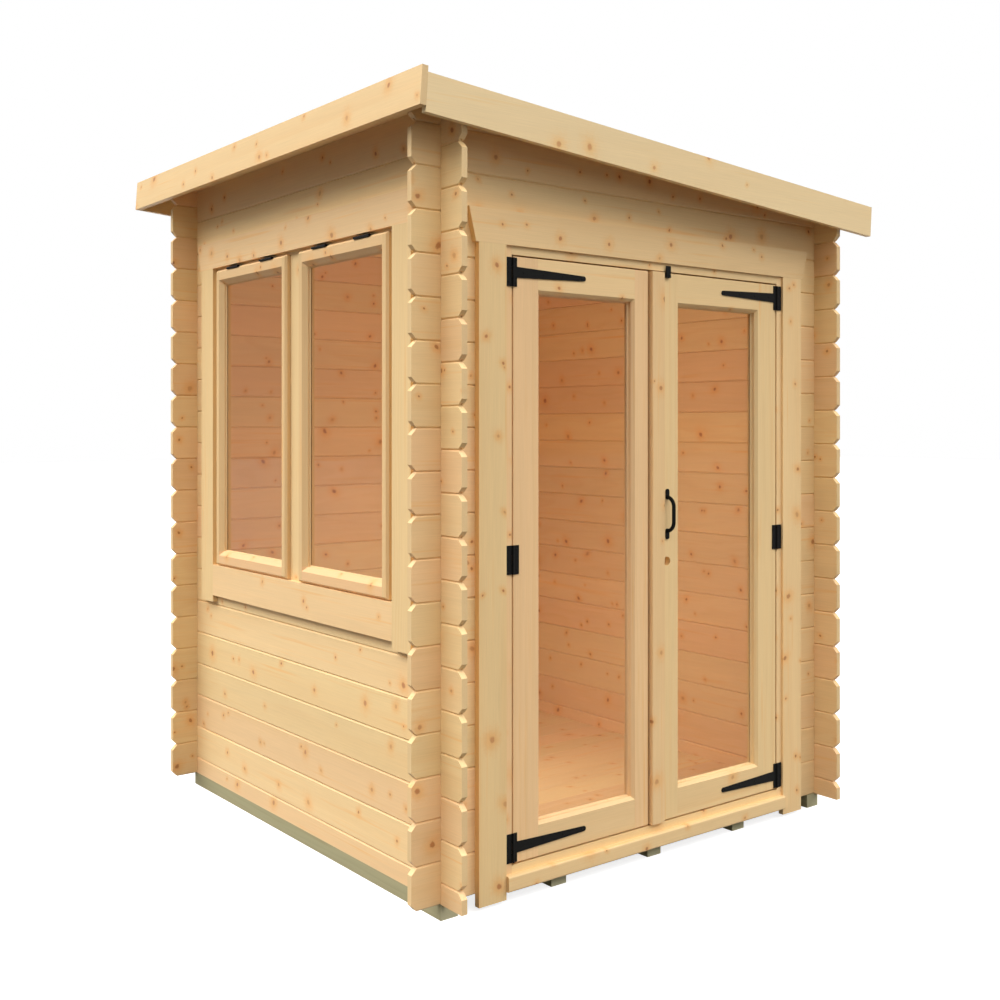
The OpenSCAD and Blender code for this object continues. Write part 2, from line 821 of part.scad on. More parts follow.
// A tapered strap with a round tip, from the hinge's plate
module strap() {
  tip = strap_tip_h / 2;
  translate([0, knuckle_r - hinge_t, 0]) front_plate(hinge_t) {
    polygon([[leaf_plate_gap, -strap_root_h / 2], [strap_l - tip, -tip], [strap_l - tip, tip],
             [leaf_plate_gap, strap_root_h / 2]]);
    translate([strap_l - tip, 0]) circle(tip);
  }
}

module fixed_hinges() {
  for (i = [0 : 2])
    translate([0, 0, leaf_foot + hinge_heights[i]])
      hinge_fixed(hinge_plate_w + leaf_gap / 2, i == 1 ? hinge_h / 3 : strap_root_h);
}

module turning_hinges() {
  for (i = [0, 2])
    translate([0, 0, leaf_foot + hinge_heights[i]]) hinge_turning(strap_plate_w, strap_root_h) strap();
  translate([0, 0, leaf_foot + hinge_heights[1]]) hinge_turning(butt_plate_w, hinge_h / 3);
}

module hinge_plates_left() {
  color(iron) site() translate([pin_left_x, pin_y, 0]) fixed_hinges();
}

module hinge_plates_right() {
  color(iron) site() translate([pin_right_x, pin_y, 0]) mirror([1, 0, 0]) fixed_hinges();
}

module door_left_straps() {
  color(iron) site() translate([pin_left_x, pin_y, 0]) turning_hinges();
}

module door_right_straps() {
  color(iron) site() translate([pin_right_x, pin_y, 0]) mirror([1, 0, 0]) turning_hinges();
}

// A bow handle: two oval feet and a round bar that leaves their inner ends, bends over and runs
// straight between them
module pull_handle() {
  half = handle_l / 2;
  foot_r = handle_foot_w / 2;
  end = half - handle_foot_h / 2 + foot_r;
  middle = handle_flat * end;
  rise = handle_bow - handle_foot_t - handle_r;
  bend = 2 * atan(rise / (end - middle));
  bend_r = (end - middle) / sin(bend);
  sunk = handle_foot_t / 2 / (end - middle) * 180 / PI;
  color(iron) site() translate([handle_x, leaf_face - handle_foot_t, leaf_foot + handle_z]) {
    translate([0, -rise, -middle]) cylinder(h = 2 * middle, r = handle_r);
    for (flip = [0, 1])
      mirror([0, 0, flip]) {
        translate([0, bend_r - rise, middle]) rotate([90, 0, -90])
          rotate_extrude(angle = bend + sunk) translate([bend_r, 0]) circle(handle_r);
        translate([0, 0, half]) front_plate(handle_foot_t) {
          square([handle_foot_w, handle_foot_h - handle_foot_w], center = true);
          for (side = [-1, 1])
            translate([0, side * (handle_foot_h / 2 - foot_r)]) circle(foot_r);
        }
      }
  }
}

// The small plate at the top of the right leaf that meets the head when the leaf is shut
module top_stop() {
  front = leaf_face - leaf_gap - hinge_t;
  color(iron) site() translate([handle_x - top_stop_w / 2, front, leaf_top - top_stop_seat]) {
    cube([top_stop_w, leaf_gap + hinge_t, top_stop_seat]);
    cube([top_stop_w, hinge_t, top_stop_seat + top_stop_reach]);
  }
}

// ---- Window ----

// Lip behind the sashes, as a box between two places across and two heights
module window_lip(x0, x1, z0, z1) {
  translate([x0, sash_back + seat, z0]) cube([x1 - x0, window_depth - sash_back - seat, z1 - z0]);
}

module window_post(x0, x1, face, z0, z1) {
  translate([x0, face, z0]) cube([x1 - x0, window_depth - face, z1 - z0]);
}

// The fixed frame: two jambs, a sill, a head and the post between the sashes
module window_frame() {
  lip_foot = sash_foot + seat;
  lip_top = window_top - seat;
  near = window_l + sash_w;
  far = near + mullion_w;
  color(pale_pine) site() side() {
    window_post(window_open_l, window_l - sash_play, 0, window_open_foot, window_open_top);
    window_lip(window_l - sash_play - 1, window_l + window_lip_w, lip_foot, lip_top);
    window_post(window_r + sash_play, window_open_r, 0, window_open_foot, window_open_top);
    window_lip(window_r - window_lip_w, window_r + sash_play + 1, lip_foot, lip_top);
    window_post(near + sash_play, far - sash_play, 0, sash_foot - sash_play + seat,
                window_top + sash_play - seat);
    window_lip(near - window_lip_w, far + window_lip_w, lip_foot, lip_top);
    for (z = [window_open_foot, window_top + sash_play])
      window_post(window_l - sash_play + seat, window_r + sash_play - seat, 0, z, z + frame_w - sash_play);
    for (x = [window_l, far]) {
      window_lip(x + window_lip_w + seat, x + sash_w - window_lip_w - seat,
                 sash_foot - sash_play - 1, sash_foot + window_lip_w);
      window_lip(x + window_lip_w + seat, x + sash_w - window_lip_w - seat,
                 window_top - window_lip_w, window_top + sash_play + 1);
    }
  }
}

module window_sashes() {
  color(pale_pine) site() side()
    for (x = [window_l, window_l + sash_w + mullion_w])
      translate([x, sash_face, sash_foot])
        glazed_frame(sash_w, sash_h, sash_stile, sash_stile, sash_rail, sash_t, sash_glass_set, sash_edge,
                     sash_bevel);
}

module window_glass() {
  color(pane) site() side()
    for (x = [window_l, window_l + sash_w + mullion_w])
      translate([x, sash_face, sash_foot])
        glass_sheet(sash_w, sash_h, sash_stile, sash_stile, sash_rail, sash_glass_set);
}

// Two hinges at the head of each sash: a knuckle along its front edge and a plate back to the frame
module window_hinges() {
  far_inset = sash_w - window_hinge_inset - window_hinge_l;
  color(iron) site() side()
    for (x = [window_l, window_l + sash_w + mullion_w], inset = [window_hinge_inset, far_inset])
      translate([x + inset, sash_face, window_top]) {
        translate([0, 0, seat]) cube([window_hinge_l, sash_proud - seat, hinge_t]);
        rotate([0, 90, 0]) cylinder(h = window_hinge_l, r = window_knuckle_r);
      }
}

module window_trims() {
  top = window_lintel_foot - seat;
  foot = window_board_foot - window_trim_drop;
  color(pale_pine) site() side() {
    translate([window_l - window_reveal, 0, 0]) trim_board(foot, top);
    translate([window_r + window_reveal, 0, 0]) mirror([1, 0, 0]) trim_board(foot, top);
  }
}

module window_lintel_board() {
  edge = window_reveal + trim_w;
  color(pale_pine) site() side()
    lintel_board(window_l - edge, window_r + edge, window_lintel_foot);
}

module window_sill_board() {
  width = window_r - window_l + 2 * window_reveal - 2 * seat;
  color(pale_pine) site() side()
    translate([window_l - window_reveal + seat, -trim_t, window_board_foot])
      cube([width, trim_t, window_sill_h]);
}

bearers();
floor_boards();
front_wall_left();
front_wall_right();
front_wall_over();
back_wall();
right_wall();
left_wall_below();
left_wall_front();
left_wall_back();
left_wall_over();
door_jamb_left();
door_jamb_right();
door_head();
door_sill();
door_threshold();
door_trim_left();
door_trim_right();
door_lintel_board();
door_left_frame();
door_left_glass();
door_left_straps();
door_right_frame();
door_right_glass();
door_right_straps();
cover_strip();
pull_handle();
top_stop();
hinge_plates_left();
hinge_plates_right();
window_frame();
window_sashes();
window_glass();
window_hinges();
window_trims();
window_lintel_board();
window_sill_board();
purlins();
roof_boards();
roof_felt();
fascia_front();
fascia_back();
fascia_left();
fascia_right();
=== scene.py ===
"""Looks of a small pine log cabin: its finishes, its small ironmongery, its felt and its studio.

Every length is in metres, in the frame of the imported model: +X right, +Y back, +Z up, the doors
at the front (-Y), the window wall at the left (-X), the ground at z = 0.
"""

import json
import logging
import math
from dataclasses import dataclass, field, replace
from enum import Enum
from typing import Any, Callable, Sequence

import bpy
import numpy as np
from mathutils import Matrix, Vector

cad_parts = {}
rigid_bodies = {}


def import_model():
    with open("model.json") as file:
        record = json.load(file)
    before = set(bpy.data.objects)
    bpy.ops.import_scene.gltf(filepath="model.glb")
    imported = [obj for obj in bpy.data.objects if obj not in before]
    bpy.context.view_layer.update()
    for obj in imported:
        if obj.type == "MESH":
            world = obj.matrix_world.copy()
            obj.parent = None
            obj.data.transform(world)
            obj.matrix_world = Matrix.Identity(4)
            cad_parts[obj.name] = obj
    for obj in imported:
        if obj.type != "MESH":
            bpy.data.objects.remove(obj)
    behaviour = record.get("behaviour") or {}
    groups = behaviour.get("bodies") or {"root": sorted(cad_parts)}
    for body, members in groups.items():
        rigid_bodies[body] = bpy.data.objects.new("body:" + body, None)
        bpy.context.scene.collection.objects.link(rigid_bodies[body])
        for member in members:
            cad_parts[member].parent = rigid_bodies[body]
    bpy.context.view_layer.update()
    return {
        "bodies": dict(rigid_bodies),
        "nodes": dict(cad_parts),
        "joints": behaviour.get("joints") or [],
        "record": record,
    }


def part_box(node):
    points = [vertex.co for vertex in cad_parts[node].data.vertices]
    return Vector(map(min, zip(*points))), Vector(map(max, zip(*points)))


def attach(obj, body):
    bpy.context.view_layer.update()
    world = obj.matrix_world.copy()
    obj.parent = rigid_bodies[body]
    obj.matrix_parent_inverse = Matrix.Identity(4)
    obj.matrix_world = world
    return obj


LOG = logging.getLogger("log_cabin")

Colour = tuple[float, float, float]


class Axis(Enum):
    """An axis of the row frame, valued by its place in a vector."""

    X = 0
    Y = 1
    Z = 2


# ---- Shader maths ---------------------------------------------------------------------------


class Signal:
    """A number that varies over a surface: a node socket whose operators add Math nodes."""

    def __init__(self, graph: "Graph", socket: Any) -> None:
        """Keeps the graph and the socket."""
        self.graph = graph
        self.socket = socket

    def _math(self, operation: str, *others: Any) -> "Signal":
        """Adds a Math node that works on this signal and the others.

        Args:
            operation: Name of the Math node's operation.
            others: Signals or plain numbers for its other inputs.

        Returns:
            The node's result.
        """
        return self.graph.maths(operation, self, *others)

    def __add__(self, other: Any) -> "Signal":
        """This plus other."""
        return self._math("ADD", other)

    __radd__ = __add__

    def __sub__(self, other: Any) -> "Signal":
        """This minus other."""
        return self._math("SUBTRACT", other)

    def __rsub__(self, other: Any) -> "Signal":
        """Other minus this."""
        return self.graph.maths("SUBTRACT", other, self)

    def __mul__(self, other: Any) -> "Signal":
        """This times other."""
        return self._math("MULTIPLY", other)

    __rmul__ = __mul__

    def __truediv__(self, other: Any) -> "Signal":
        """This over other."""
        return self._math("DIVIDE", other)

    def __abs__(self) -> "Signal":
        """The size of this without its sign."""
        return self._math("ABSOLUTE")

    def floor(self) -> "Signal":
        """The whole number at or below this."""
        return self._math("FLOOR")

    def fraction(self) -> "Signal":
        """What is left above the whole number."""
        return self._math("FRACT")

    def root(self) -> "Signal":
        """The square root."""
        return self._math("SQRT")

    def exponential(self) -> "Signal":
        """e to the power of this."""
        return self._math("EXPONENT")

    def above(self, threshold: Any) -> "Signal":
        """1 where this is more than the threshold, else 0."""
        return self._math("GREATER_THAN", threshold)

    def ramp(self, low: float, high: float) -> "Signal":
        """A soft step: 0 below low, 1 above high, or the other way round where low is the larger.

        Args:
            low: Value at which the step is still 0.
            high: Value at which it has reached 1.

        Returns:
            The step, smooth at both ends.
        """
        flipped = low > high
        node = self.graph.node(
            "ShaderNodeMapRange",
            {"interpolation_type": "SMOOTHSTEP"},
            {0: self, 1: min(low, high), 2: max(low, high), 3: 1.0 if flipped else 0.0, 4: 0.0 if flipped else 1.0},
        )
        return Signal(self.graph, node.outputs[0])

    def towards(self, other: Any, share: Any) -> "Signal":
        """This where share is 0, other where it is 1."""
        return self + (other - self) * share if isinstance(other, Signal) else self * (1 - share) + other * share


class Graph:
    """The node tree of one material."""

    def __init__(self, name: str) -> None:
        """Makes an empty material of that name."""
        self.material = bpy.data.materials.new(name)
        self.material.use_nodes = True
        self.tree = self.material.node_tree
        self.tree.nodes.clear()
        self.output = self.tree.nodes.new("ShaderNodeOutputMaterial")

    def node(self, kind: str, settings: dict[str, Any], inputs: dict[Any, Any]) -> Any:
        """Adds a node.

        Args:
            kind: The node's type.
            settings: Its properties, set before its inputs.
            inputs: Socket name or number to a Signal, a socket or a plain value.

        Returns:
            The node.
        """
        made = self.tree.nodes.new(kind)
        for key, value in settings.items():
            setattr(made, key, value)
        for key, value in inputs.items():
            source = value.socket if isinstance(value, Signal) else value
            if isinstance(source, bpy.types.NodeSocket):
                self.tree.links.new(source, made.inputs[key])
            else:
                made.inputs[key].default_value = source
        return made

    def maths(self, operation: str, *values: Any) -> Signal:
        """Adds a Math node on signals or plain numbers, and gives its result."""
        made = self.node("ShaderNodeMath", {"operation": operation}, dict(enumerate(values)))
        return Signal(self, made.outputs[0])

    def place(self) -> tuple[Signal, Signal, Signal]:
        """The point's x, y and z on the piece, in metres."""
        return self._parts("Object")

    def facing(self) -> tuple[Signal, Signal, Signal]:
        """The x, y and z of the surface's direction, in the piece's own frame."""
        return self._parts("Normal")

    def _parts(self, output: str) -> tuple[Signal, Signal, Signal]:
        """The three parts of one of the Texture Coordinate node's vectors."""
        source = self.node("ShaderNodeTexCoord", {}, {})
        made = self.node("ShaderNodeSeparateXYZ", {}, {0: source.outputs[output]})
        return tuple(Signal(self, s) for s in made.outputs)

    def vector(self, x: Any, y: Any, z: Any) -> Any:
        """A vector socket made of three numbers or signals."""
        return self.node("ShaderNodeCombineXYZ", {}, {0: x, 1: y, 2: z}).outputs[0]

    def noise(self, x: Any, y: Any, z: Any, detail: float = 2.0, roughness: float = 0.5) -> Signal:
        """Smooth noise, about 0 to 1, with a feature size of 1 in the units given.

        Args:
            x: First coordinate.
            y: Second coordinate.
            z: Third coordinate.
            detail: Number of finer layers.
            roughness: Strength of the finer layers.

        Returns:
            The noise.
        """
        made = self.node(
            "ShaderNodeTexNoise",
            {"noise_dimensions": "3D"},
            {"Vector": self.vector(x, y, z), "Scale": 1.0, "Detail": detail, "Roughness": roughness},
        )
        return Signal(self, made.outputs[0])

    def chance(self, x: Any, y: Any, z: Any) -> Signal:
        """A number from 0 to 1 that differs at random from one whole place to the next."""
        made = self.node("ShaderNodeTexWhiteNoise", {"noise_dimensions": "3D"}, {"Vector": self.vector(x, y, z)})
        return Signal(self, made.outputs[0])

    def blend(self, first: Any, second: Any, share: Any) -> Any:
        """A colour socket: first where share is 0, second where it is 1.

        Args:
            first: Colour or colour socket.
            second: Colour or colour socket.
            share: Signal or number.

        Returns:
            The mixed colour's socket.
        """
        colours = [(*c, 1.0) if isinstance(c, tuple) else c for c in (first, second)]
        made = self.node("ShaderNodeMix", {"data_type": "RGBA"}, {0: share, 6: colours[0], 7: colours[1]})
        return made.outputs[2]

    def shade(self, colour: Any, light: Any) -> Any:
        """A colour times a number, such as 1.1 to lighten it."""
        made = self.node("ShaderNodeVectorMath", {"operation": "SCALE"}, {0: colour, 3: light})
        return made.outputs[0]

    def bump(self, height: Signal, strength: float, distance: float) -> Any:
        """A normal socket from a height that runs from 0 to 1 over a distance in metres."""
        made = self.node("ShaderNodeBump", {}, {"Height": height, "Strength": strength, "Distance": distance})
        return made.outputs[0]

    def surface(self, **sockets: Any) -> bpy.types.Material:
        """Ends the material in a Principled shader.

        Args:
            sockets: The shader's sockets, with _ for the spaces in their names.

        Returns:
            The finished material.
        """
        inputs = {key.replace("_", " "): value for key, value in sockets.items()}
        made = self.node("ShaderNodeBsdfPrincipled", {}, inputs)
        self.tree.links.new(made.outputs[0], self.output.inputs[0])
        return self.material


# ---- Finishes -------------------------------------------------------------------------------


@dataclass(frozen=True)
class Tone:
    """The colours of one kind of wood, linear."""

    early: Colour
    late: Colour
    rosy: Colour
    honey: Colour
    resin: Colour
    knot: Colour
    halo: Colour
    end: Colour


PINE = Tone(
    early=(0.850, 0.595, 0.300),
    late=(0.780, 0.480, 0.205),
    rosy=(0.860, 0.530, 0.275),
    honey=(0.850, 0.618, 0.295),
    resin=(0.840, 0.470, 0.170),
    knot=(0.400, 0.130, 0.038),
    halo=(0.830, 0.410, 0.130),
    end=(0.737, 0.516, 0.260),
)
# A darker, slightly warmer copy of PINE: painted shade that dims the window sashes
PINE_PAINTED_SHADE = replace(
    PINE,
    early=(0.800, 0.530, 0.262),
    rosy=(0.810, 0.480, 0.240),
    honey=(0.800, 0.548, 0.258),
)
PALE = Tone(
    early=(0.840, 0.638, 0.350),
    late=(0.780, 0.530, 0.255),
    rosy=(0.845, 0.615, 0.335),
    honey=(0.840, 0.650, 0.345),
    resin=(0.845, 0.550, 0.225),
    knot=(0.560, 0.240, 0.080),
    halo=(0.840, 0.480, 0.165),
    end=(0.728, 0.553, 0.303),
)
TREATED = Tone(
    early=(0.380, 0.345, 0.190),
    late=(0.250, 0.225, 0.120),
    rosy=(0.390, 0.345, 0.200),
    honey=(0.330, 0.335, 0.180),
    resin=(0.300, 0.250, 0.120),
    knot=(0.110, 0.090, 0.040),
    halo=(0.200, 0.180, 0.080),
    # end: end grain lightened well above the face grain, painted light that brightens the bearers' end faces
    end=(0.530, 0.485, 0.300),
)


@dataclass(frozen=True)
class Lay:
    """How the boards of a node lie.

    Attributes:
        along: Axis that the grain follows.
        across: Axis across the boards' faces.
        start: Where the first board starts on that axis, in metres.
        pitch: Width of a board, or 0 where the node is a single board.
        cross: Box outside which the grain turns to run across, as (centre, half size) pairs on
            the along and across axes; a frame's rails lie there. None where nothing turns.
        fold: Place on the across axis about which two like frames mirror each other, or None.
    """

    along: Axis
    across: Axis
    start: float = 0.0
    pitch: float = 0.0
    cross: tuple[tuple[float, float], tuple[float, float]] | None = None
    fold: float | None = None


@dataclass(frozen=True)
class Wood:
    """Sawn and planed softwood: growth rings, fibres, knots with halos, and tints board by board.

    Attributes:
        tone: Its colours.
        knot_every: Length of board that holds one knot at most, in metres.
        knot_share: Share of those lengths that hold one, on average.
        knot_sizes: Least and greatest radius of the main knots, in metres.
        small_knots: The same for the small ones, which stand closer together.
        ring_width: Mean distance between growth rings, in metres.
        tint: How far a board's colour may lean towards another.
        late_share: How far late wood stands out.
        fibre_share: How far fibres lighten and darken.
        roughness: Roughness of the planed face.
    """

    tone: Tone = PINE
    knot_every: float = 0.215
    knot_share: float = 0.86
    knot_sizes: tuple[float, float] = (0.0040, 0.0105)
    small_knots: tuple[float, float] = (0.0030, 0.0060)
    ring_width: float = 0.0070
    tint: float = 0.55
    late_share: float = 0.34
    fibre_share: float = 0.19
    roughness: float = 0.58

    def material(self, name: str, lay: Lay, seed: int) -> bpy.types.Material:
        """Makes the material of one node.

        The wood is a trunk about a pith line that runs along the grain beside each board: the
        rings are the fraction of the distance from that line over the ring width, pushed about by
        slow noise and bowed round the knots. Fibres are fine noise drawn out along the grain, and
        they alone raise the surface.

        Args:
            name: The material's name.
            lay: How the node's boards lie.
            seed: Number that sets this node apart from the others.

        Returns:
            The material.
        """
        g = Graph(name)
        place, facing = g.place(), g.facing()
        depth_axis = 3 - lay.along.value - lay.across.value
        run, wide, deep = place[lay.along.value], place[lay.across.value], place[depth_axis]
        if lay.fold is not None:
            wide = abs(wide - lay.fold) + lay.fold
        board: Any = float(seed)
        if lay.pitch:
            board = ((wide - lay.start) / lay.pitch).floor() + seed * 37.0
            middle = wide - ((board - seed * 37.0 + 0.5) * lay.pitch + lay.start)
        else:
            middle = wide - lay.start
        if lay.cross:
            (c0, h0), (c1, h1) = lay.cross
            turned = abs(run - c0).above(h0) * (1 - abs(middle - c1).above(h1))
            side = (run - c0).above(0.0)
            board = turned * (side + 1.0) * 5.0 + board
            run, middle = run.towards(middle, turned), middle.towards(run - c0 - (side * 2 - 1) * h0, turned)
        key = board if isinstance(board, Signal) else board + 0.5
        whim = [g.chance(key, k * 1.37 + 0.5, seed * 0.731) for k in range(4)]
        shift = whim[0] * 23.0

        knots, halo, bow = self._knots(g, run, middle, board, seed)

        warp = g.noise(run * 1.1 + shift, middle * 5.0, deep * 5.0 + seed, 2.0) - 0.5
        pith = middle + (whim[1] - 0.5) * 0.12 + warp * 0.05
        behind = deep + (whim[2] * 0.07 + 0.045) * (1 if seed % 2 else -1) + warp * 0.03
        reach = (pith * pith + behind * behind).root() + bow * 0.006
        ring = (reach / self.ring_width + warp * 5.0).fraction()
        late = ring.ramp(0.25, 0.85) * (1 - ring.ramp(0.86, 1.0))
        strength = g.noise(run * 0.7 + shift, reach * 60.0, 3.0 + seed, 1.0).ramp(0.25, 0.75)
        fibre = g.noise(run * 7.0 + shift, middle * 420.0, deep * 420.0, 3.0, 0.6)
        cloud = g.noise(run * 1.6 + shift, middle * 14.0, deep * 14.0 + seed * 3.0, 2.0)
        streak = g.noise(run * 2.2 + shift, middle * 75.0, deep * 75.0 + seed * 5.0, 2.0)

        colour = g.blend(self.tone.early, self.tone.honey, whim[3].ramp(0.50, 0.05) * self.tint)
        colour = g.blend(colour, self.tone.rosy, whim[3].ramp(0.50, 0.95) * self.tint)
        colour = g.blend(colour, self.tone.late, late * strength * self.late_share)
        colour = g.blend(colour, self.tone.resin, streak.ramp(0.56, 0.76) * cloud.ramp(0.40, 0.60) * 0.62)
        colour = g.blend(colour, self.tone.halo, halo)
        colour = g.blend(colour, self.tone.knot, knots)
        light = (whim[0] - 0.5) * 0.08 + (fibre - 0.5) * self.fibre_share + (cloud - 0.5) * 0.12 + 1.0
        if not lay.cross:
            # End faces take the tone's end colour: end grain, and on the treated bearers painted light that lightens
            # their ends
            end_grain_and_painted_light = abs(facing[lay.along.value]).ramp(0.75, 0.95)
            colour = g.blend(colour, self.tone.end, end_grain_and_painted_light * 0.75)
        colour = g.shade(colour, light)
        return g.surface(
            Base_Color=colour,
            Roughness=knots * -0.15 + (fibre - 0.5) * 0.12 + self.roughness,
            Normal=g.bump(fibre, 0.16, 0.0004),
            Specular_IOR_Level=0.32,
        )

    def _knots(self, g: Graph, run: Signal, middle: Signal, board: Any, seed: int) -> tuple[Signal, Signal, Signal]:
        """Places one knot at most in each stretch of each board.

        A knot's core is a soft step, and its halo a bell, of the distance from its middle over its
        radius. Some boards are more knotty than others, and some knots are paler.

        Args:
            g: The graph.
            run: Distance along the grain.
            middle: Distance from the board's middle.
            board: The board's number.
            seed: The node's number.

        Returns:
            Where the knots are, their halos, and how far they push the rings, each 0 to 1.
        """
        knots = halo = bow = None
        knotty = g.chance(board, 9.13, seed * 0.517)
        wobble = g.noise(run * 110.0, middle * 110.0, seed + 0.5, 1.0) * 0.8 + 0.6
        main = (self.knot_every, self.knot_share, *self.knot_sizes)
        small = (self.knot_every * 0.71, self.knot_share * 0.40, *self.small_knots)
        for layer, (stretch, share, least, most) in enumerate((main, small)):
            lane = run / stretch + board * 0.377 + layer * 0.5
            cell = lane.floor()
            pick = [g.chance(cell + 0.5, board + 0.31, seed + layer * 7.7 + k * 0.913) for k in range(4)]
            along = (lane.fraction() - (pick[0] * 0.68 + 0.16)) * stretch
            aside = middle - (pick[1] - 0.5) * 0.090
            size = pick[2] * pick[2] * (most - least) + least
            there = 1 - pick[3].above(knotty * share + share * 0.50)
            age = (pick[3] * 13.7).fraction().ramp(0.05, 0.55) * 0.50 + 0.50
            lean = aside + along * (pick[1] - 0.5) * 0.6
            away = ((along * along) * 0.80 + lean * lean * (pick[0] * 0.5 + 0.6)).root() / size * wobble
            core = away.ramp(1.10, 0.45) * there * age
            glow = (away * away * -0.14).exponential() * there
            knots = core if knots is None else g.maths("MAXIMUM", knots, core)
            halo = glow if halo is None else g.maths("MAXIMUM", halo, glow)
            push = (away * away * -0.18).exponential() * there
            bow = push if bow is None else bow + push * 0.5
        return knots * 0.78, halo * 0.68, bow


@dataclass(frozen=True)
class Iron:
    """Black powder-coated steel."""

    colour: Colour = (0.0035, 0.0034, 0.0029)
    roughness: float = 0.60

    def material(self, name: str) -> bpy.types.Material:
        """Makes the material: a fine orange-peel coat, a little duller in patches."""
        g = Graph(name)
        x, y, z = g.place()
        peel = g.noise(x * 900.0, y * 900.0, z * 900.0, 2.0)
        patch = g.noise(x * 35.0, y * 35.0, z * 35.0, 2.0)
        colour = g.shade(self.colour, patch * 0.6 + 0.7)
        return g.surface(
            Base_Color=colour,
            Roughness=(patch - 0.5) * 0.2 + self.roughness,
            Normal=g.bump(peel, 0.25, 0.0003),
            Specular_IOR_Level=0.07,
        )


@dataclass(frozen=True)
class Felt:
    """Mineral roofing felt: dark granules pressed into bitumen."""

    colour: Colour = (0.050, 0.052, 0.050)

    def material(self, name: str) -> bpy.types.Material:
        """Makes the material: bright and dark grains, and faint lighter wear in clouds."""
        g = Graph(name)
        x, y, z = g.place()
        grain = g.noise(x * 700.0, y * 700.0, z * 700.0, 3.0, 0.7)
        cloud = g.noise(x * 3.0, y * 3.0, z * 3.0, 3.0)
        colour = g.shade(self.colour, grain.ramp(0.35, 0.75) * 1.3 + cloud * 0.7 + 0.25)
        return g.surface(
            Base_Color=colour,
            Roughness=grain * 0.1 + 0.84,
            Normal=g.bump(grain, 0.6, 0.0012),
            Specular_IOR_Level=0.25,
        )


@dataclass(frozen=True)
class Glass:
    """Clear window glass, seen through with a thin reflection."""

    def material(self, name: str) -> bpy.types.Material:
        """Makes the material: see-through face on, and glossier at a slant."""
        g = Graph(name)
        clear = g.node("ShaderNodeBsdfTransparent", {}, {"Color": (0.965, 0.975, 0.970, 1.0)})
        gloss = g.node("ShaderNodeBsdfGlossy", {}, {"Color": (0.9, 0.95, 0.95, 1.0), "Roughness": 0.02})
        slant = Signal(g, g.node("ShaderNodeFresnel", {}, {"IOR": 1.45}).outputs[0])
        inside = Signal(g, g.node("ShaderNodeNewGeometry", {}, {}).outputs["Backfacing"])
        share = slant * (1 - inside) * 0.35
        made = g.node("ShaderNodeMixShader", {}, {0: share, 1: clear.outputs[0], 2: gloss.outputs[0]})
        g.tree.links.new(made.outputs[0], g.output.inputs[0])
        return g.material


# ---- Pieces ---------------------------------------------------------------------------------


def revolved(profile: np.ndarray, turns: int, centres: np.ndarray, outward: np.ndarray,
             across: np.ndarray) -> tuple[np.ndarray, np.ndarray]:
    """Works out like round pieces that stand on a surface.

    A point is centre + r cos(a) across + r sin(a) beside + h outward, where (r, h) runs along the
    profile, a runs round the axis and beside is outward crossed with across. The profile starts and
    ends on the axis, where each ring closes in one point.

    Args:
        profile: Distances from the axis and heights, one pair a row, from the foot to the crown.
        turns: Number of steps round the axis.
        centres: One row for each piece.
        outward: Unit direction of the axis.
        across: Unit direction at a right angle to it.

    Returns:
        The points and the faces.
    """
    beside = np.cross(outward, across)
    angle = np.linspace(0.0, 2.0 * math.pi, turns, endpoint=False)
    ring = np.cos(angle)[:, None] * across + np.sin(angle)[:, None] * beside
    inner = profile[1:-1]
    rings = inner[:, 0, None, None] * ring + inner[:, 1, None, None] * outward
    ends = profile[[0, -1], 1, None] * outward
    shape = np.concatenate([rings.reshape(-1, 3), ends])
    points = (centres[:, None, :] + shape).reshape(-1, 3)
    low, step = np.meshgrid(np.arange(len(inner) - 1) * turns, np.arange(turns), indexing="ij")
    after = (step + 1) % turns
    walls = np.stack([low + step, low + after, low + turns + after, low + turns + step], -1).reshape(-1, 4)
    first, then = np.arange(turns), (np.arange(turns) + 1) % turns
    foot = np.full(turns, len(inner) * turns)
    last = (len(inner) - 1) * turns
    closing = np.concatenate([np.stack([foot, then, first, foot], -1),
                              np.stack([foot + 1, last + first, last + then, foot + 1], -1)])
    one = np.concatenate([walls, closing])
    return points, (one[None] + np.arange(len(centres))[:, None, None] * len(shape)).reshape(-1, 4)


BEAD = np.array([[-0.0002, -0.0002], [0.0042, -0.0002], [0.0042, 0.0006], [0.0008, 0.0036], [-0.0002, 0.0036]])


def beads(low: np.ndarray, high: np.ndarray, flat: Axis, side: float) -> tuple[np.ndarray, np.ndarray]:
    """Works out the bead round a pane: a small slanted profile along its rectangle, mitred.

    A row of BEAD is (inset from the opening's edge, rise off the glass), and each row makes a
    rectangle: the opening drawn in by the inset, moved off the glass by the rise.

    Args:
        low: The opening's lowest corner, on the glass.
        high: Its highest corner.
        flat: Axis at a right angle to the glass.
        side: Direction off the glass on that axis, -1 or 1.

    Returns:
        The points and the faces.
    """
    first, second = [k for k in range(3) if k != flat.value]
    turn = np.array([[0, 0], [1, 0], [1, 1], [0, 1]])
    corners = np.zeros((len(BEAD), 4, 3))
    for axis, end in ((first, turn[:, 0]), (second, turn[:, 1])):
        corners[:, :, axis] = np.where(end, high[axis] - BEAD[:, :1], low[axis] + BEAD[:, :1])
    corners[:, :, flat.value] = low[flat.value] + side * BEAD[:, 1:]
    ring, step = np.meshgrid(np.arange(len(BEAD)), np.arange(4), indexing="ij")
    after, beyond = (step + 1) % 4, (ring + 1) % len(BEAD)
    faces = np.stack([ring * 4 + step, ring * 4 + after, beyond * 4 + after, beyond * 4 + step], -1).reshape(-1, 4)
    outward = side * (1.0 if flat is Axis.Y else -1.0)
    return corners.reshape(-1, 3), faces if outward > 0 else faces[:, ::-1]


